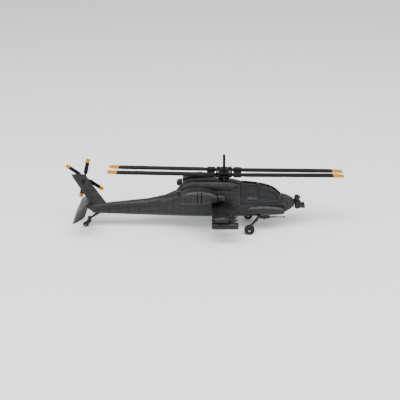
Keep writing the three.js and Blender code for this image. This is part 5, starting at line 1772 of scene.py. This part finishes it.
# Back plug of the receiver: place, and section as (distance to the rear, radius)
PLUG_PLACE, PLUG = (41.2, 0, 11.9), [(-0.6, 1.0), (0.2, 1.0), (0.32, 0.7)]
TURRET_BOLTS = ((47, 0, 16.3), Z_AXIS, 4.5, 12, (0.3, 0.3))
TRUNNION_PLACE, TRUNNION = (47, 2.9, 12.6), [(0, 0.9), (0.35, 0.9), (0.5, 0.6)]


def gun_barrel(gun):
    """Barrel in a spring sleeve, with a brace on each side and a ringed muzzle brake."""
    for i in range(SPRING_TURNS):
        add_band(gun, (SPRING_START + i * SPRING_PITCH, 0, GUN_Z), X_AXIS, *SPRING_COIL, 20)
    add_tube(gun, [(x, 0, GUN_Z) for x, _ in BARREL], [radius for _, radius in BARREL], 20)
    for side in SIDES:
        start_y, end_y = (side * y for y in BRACE_YS)
        corner = (BRACE_END, end_y, GUN_Z)
        add_tube(gun, [(BARREL[0][0], start_y, GUN_Z), corner], BRACE_RADIUS, 10)
        add_tube(gun, [corner, (BRACE_END + 0.1, 0, GUN_Z)], BRACE_RADIUS, 10)
        add_tube(gun, [(x, side * ROD_Y, GUN_Z) for x in ROD_XS], ROD_RADIUS, 8)
    add_band(gun, (BRACE_END, 0, GUN_Z), X_AXIS, *BRACE_BAND, 20)
    for x in MUZZLE_RINGS:
        add_band(gun, (x, 0, GUN_Z), X_AXIS, *MUZZLE_RING, 20)


def build_gun():
    """The chain gun with its ribbed receiver, and the bolts and trunnions of its turret."""
    gun, ring = bmesh.new(), bmesh.new()
    for low, high in RECEIVER_BLOCKS:
        add_box(gun, low, high)
    for x in RECEIVER_RIBS:
        add_box_at(gun, (x, 0, 0), RECEIVER_RIB)
    add_turned(gun, PLUG_PLACE, (-1, 0, 0), PLUG, 20)
    gun_barrel(gun)
    place_piece(gun, "chain_gun_detail", BLACK, "gun_mount", edge=0.06, replaced=["chain_gun"])
    bolt_ring(ring, *TURRET_BOLTS)
    x, y, z = TRUNNION_PLACE
    for side in SIDES:
        add_turned(ring, (x, side * y, z), (0, side, 0), TRUNNION, 20)
    place_piece(ring, "gun_turret_bolts", BLACK, "gun_mount", edge=0.04)


# Middle of the left eye's glass, which the right one mirrors, and its section as (x, radius)
TARGET_EYE = (92.1, 2.7, 28.3)
TARGET_LENS = [(-0.1, 1.5), (0.25, 1.45), (0.42, 0.9), (0.46, 0.3)]
# Reach ahead of the eye, and bore and outer radius
TARGET_HOOD, NIGHT_HOOD = ((-1.5, 0.6), (2.05, 2.28)), ((-1.2, 0.45), (1.45, 1.66))
# How far the bolts lie ahead of the eye, and axis, radius, count, head, first angle and direction
EYE_BOLTS_AHEAD, EYE_BOLTS = 0.7, (X_AXIS, 1.8, 6, (0.16, 0.18), 30, X_AXIS)
NIGHT_EYE = (86.75, 0, 38.7)
NIGHT_LENS = [(-0.1, 1.06), (0.2, 1.0), (0.34, 0.6), (0.38, 0.2)]
# Height and radius of the bands round the night sensor, and heights of those round the target sight
NIGHT_BANDS = ((36.6, 3.05), (40.1, 2.75))
TARGET_BANDS = (30.2, 32.2)
TARGET_BAND = ((-0.15, 0.15), (3.4, 3.86))
# x of the two sights' own axes, and bore of the upper one's bands
TARGET_X, NIGHT_X, NIGHT_BORE = 84.6, 83.4, 2.3


def target_sight_detail():
    """Lenses, hoods, bolts and bands on the lower nose sight."""
    metal, glass = bmesh.new(), bmesh.new()
    x, y, z = TARGET_EYE
    for side in SIDES:
        centre = (x, side * y, z)
        add_turned(glass, centre, X_AXIS, TARGET_LENS, 28)
        add_band(metal, centre, X_AXIS, *TARGET_HOOD, 32)
        bolt_ring(metal, (x + EYE_BOLTS_AHEAD, side * y, z), *EYE_BOLTS)
    for band in TARGET_BANDS:
        add_band(metal, (TARGET_X, 0, band), Z_AXIS, *TARGET_BAND, 40)
    place_piece(metal, "target_sight_fittings", BLACK, "target_sight", edge=0.03)
    place_piece(glass, "target_sight_lenses", LENS, "target_sight")


def night_sensor_detail():
    """Lens, hood and bands on the upper nose sight."""
    metal, glass = bmesh.new(), bmesh.new()
    add_turned(glass, NIGHT_EYE, X_AXIS, NIGHT_LENS, 24)
    add_band(metal, NIGHT_EYE, X_AXIS, *NIGHT_HOOD, 28)
    for z, radius in NIGHT_BANDS:
        add_band(metal, (NIGHT_X, 0, z), Z_AXIS, (-0.14, 0.14), (NIGHT_BORE, radius), 36)
    place_piece(metal, "night_sensor_fittings", BLACK, "night_sensor", edge=0.03)
    place_piece(glass, "night_sensor_lens", LENS, "night_sensor")


# ---- Engines ----

FAN_CENTRE = (-9.9, 20, 49.45)
FAN_BLADES = 14
FAN_ROOT, FAN_TIP = 1.1, 3.1
# Half the width of a fan blade at its tip, and its share of that at its root
FAN_HALF_WIDE, FAN_ROOT_SHARE = 0.35, 0.6
FAN_THICK = (0.3, 0, 0)
FAN_CONE = [(0, 1.3), (0.5, 1.2), (1.2, 0.6), (1.35, 0.15)]


def intake_detail():
    """A bladed fan face and a centre cone in each engine intake."""
    fan = bmesh.new()
    x, y, z = FAN_CENTRE
    for side in SIDES:
        centre = Vector((x, side * y, z))
        add_turned(fan, centre, X_AXIS, FAN_CONE, 24)
        for _, lean in around(centre, X_AXIS, FAN_ROOT, FAN_BLADES):
            wide = lean.cross(Vector(X_AXIS)) * FAN_HALF_WIDE
            narrow = wide * FAN_ROOT_SHARE
            root, tip = centre + lean * FAN_ROOT, centre + lean * FAN_TIP
            add_plate(fan, [root - narrow, root + narrow, tip + wide, tip - wide], FAN_THICK)
    place_piece(fan, "intake_fans", BLACK)


# x of each nacelle slot, its lowest and highest z, and the strips of painted shade on its floor as (x off
# its middle, width)
NACELLE_SLOTS = (-29.7, -25.1)
SLOT_ZS = (44.2, 58.6)
SLOT_STRIPS = ((-0.5, 0.4), (0, 0.56), (0.5, 0.4))
SLOT_FLOOR_PROUD = 0.04
GASKET_X = 18.45
GASKET_THICK = (0.5, 0, 0)
GASKET = [(10, 36.6), (10, 42), (9.4, 43.4), (5.4, 57), (4.4, 57.6)]


def slot_shadows():
    """Painted shade as near-black strips on the nacelle slot floors, and a gasket that closes the joint
    behind the canopy.
    """
    dark = bmesh.new()
    for side in SIDES:
        skin = skin_of(f"engine_nacelle_{SIDE_NAMES[side]}")
        for slot in NACELLE_SLOTS:
            for offset, wide in SLOT_STRIPS:
                starts = from_side(side, [(slot + offset, z) for z in SLOT_ZS])
                add_seam(dark, skin, starts, (0, -side, 0), wide=wide, proud=SLOT_FLOOR_PROUD)
    outline = [(GASKET_X, y, z) for y, z in GASKET] + [(GASKET_X, -y, z) for y, z in GASKET[::-1]]
    add_plate(dark, outline, GASKET_THICK)
    place_piece(dark, "slot_shade_and_gasket", DARK_LINE_AND_SHADE)


for wheel in WHEELS:
    build_wheel(*wheel)
leg_detail()
castor_detail()
for wing_side in SIDES:
    build_pod(wing_side)
    build_rack(wing_side)
wing_detail()
stabilator_detail()
build_gun()
target_sight_detail()
night_sensor_detail()
intake_detail()
slot_shadows()
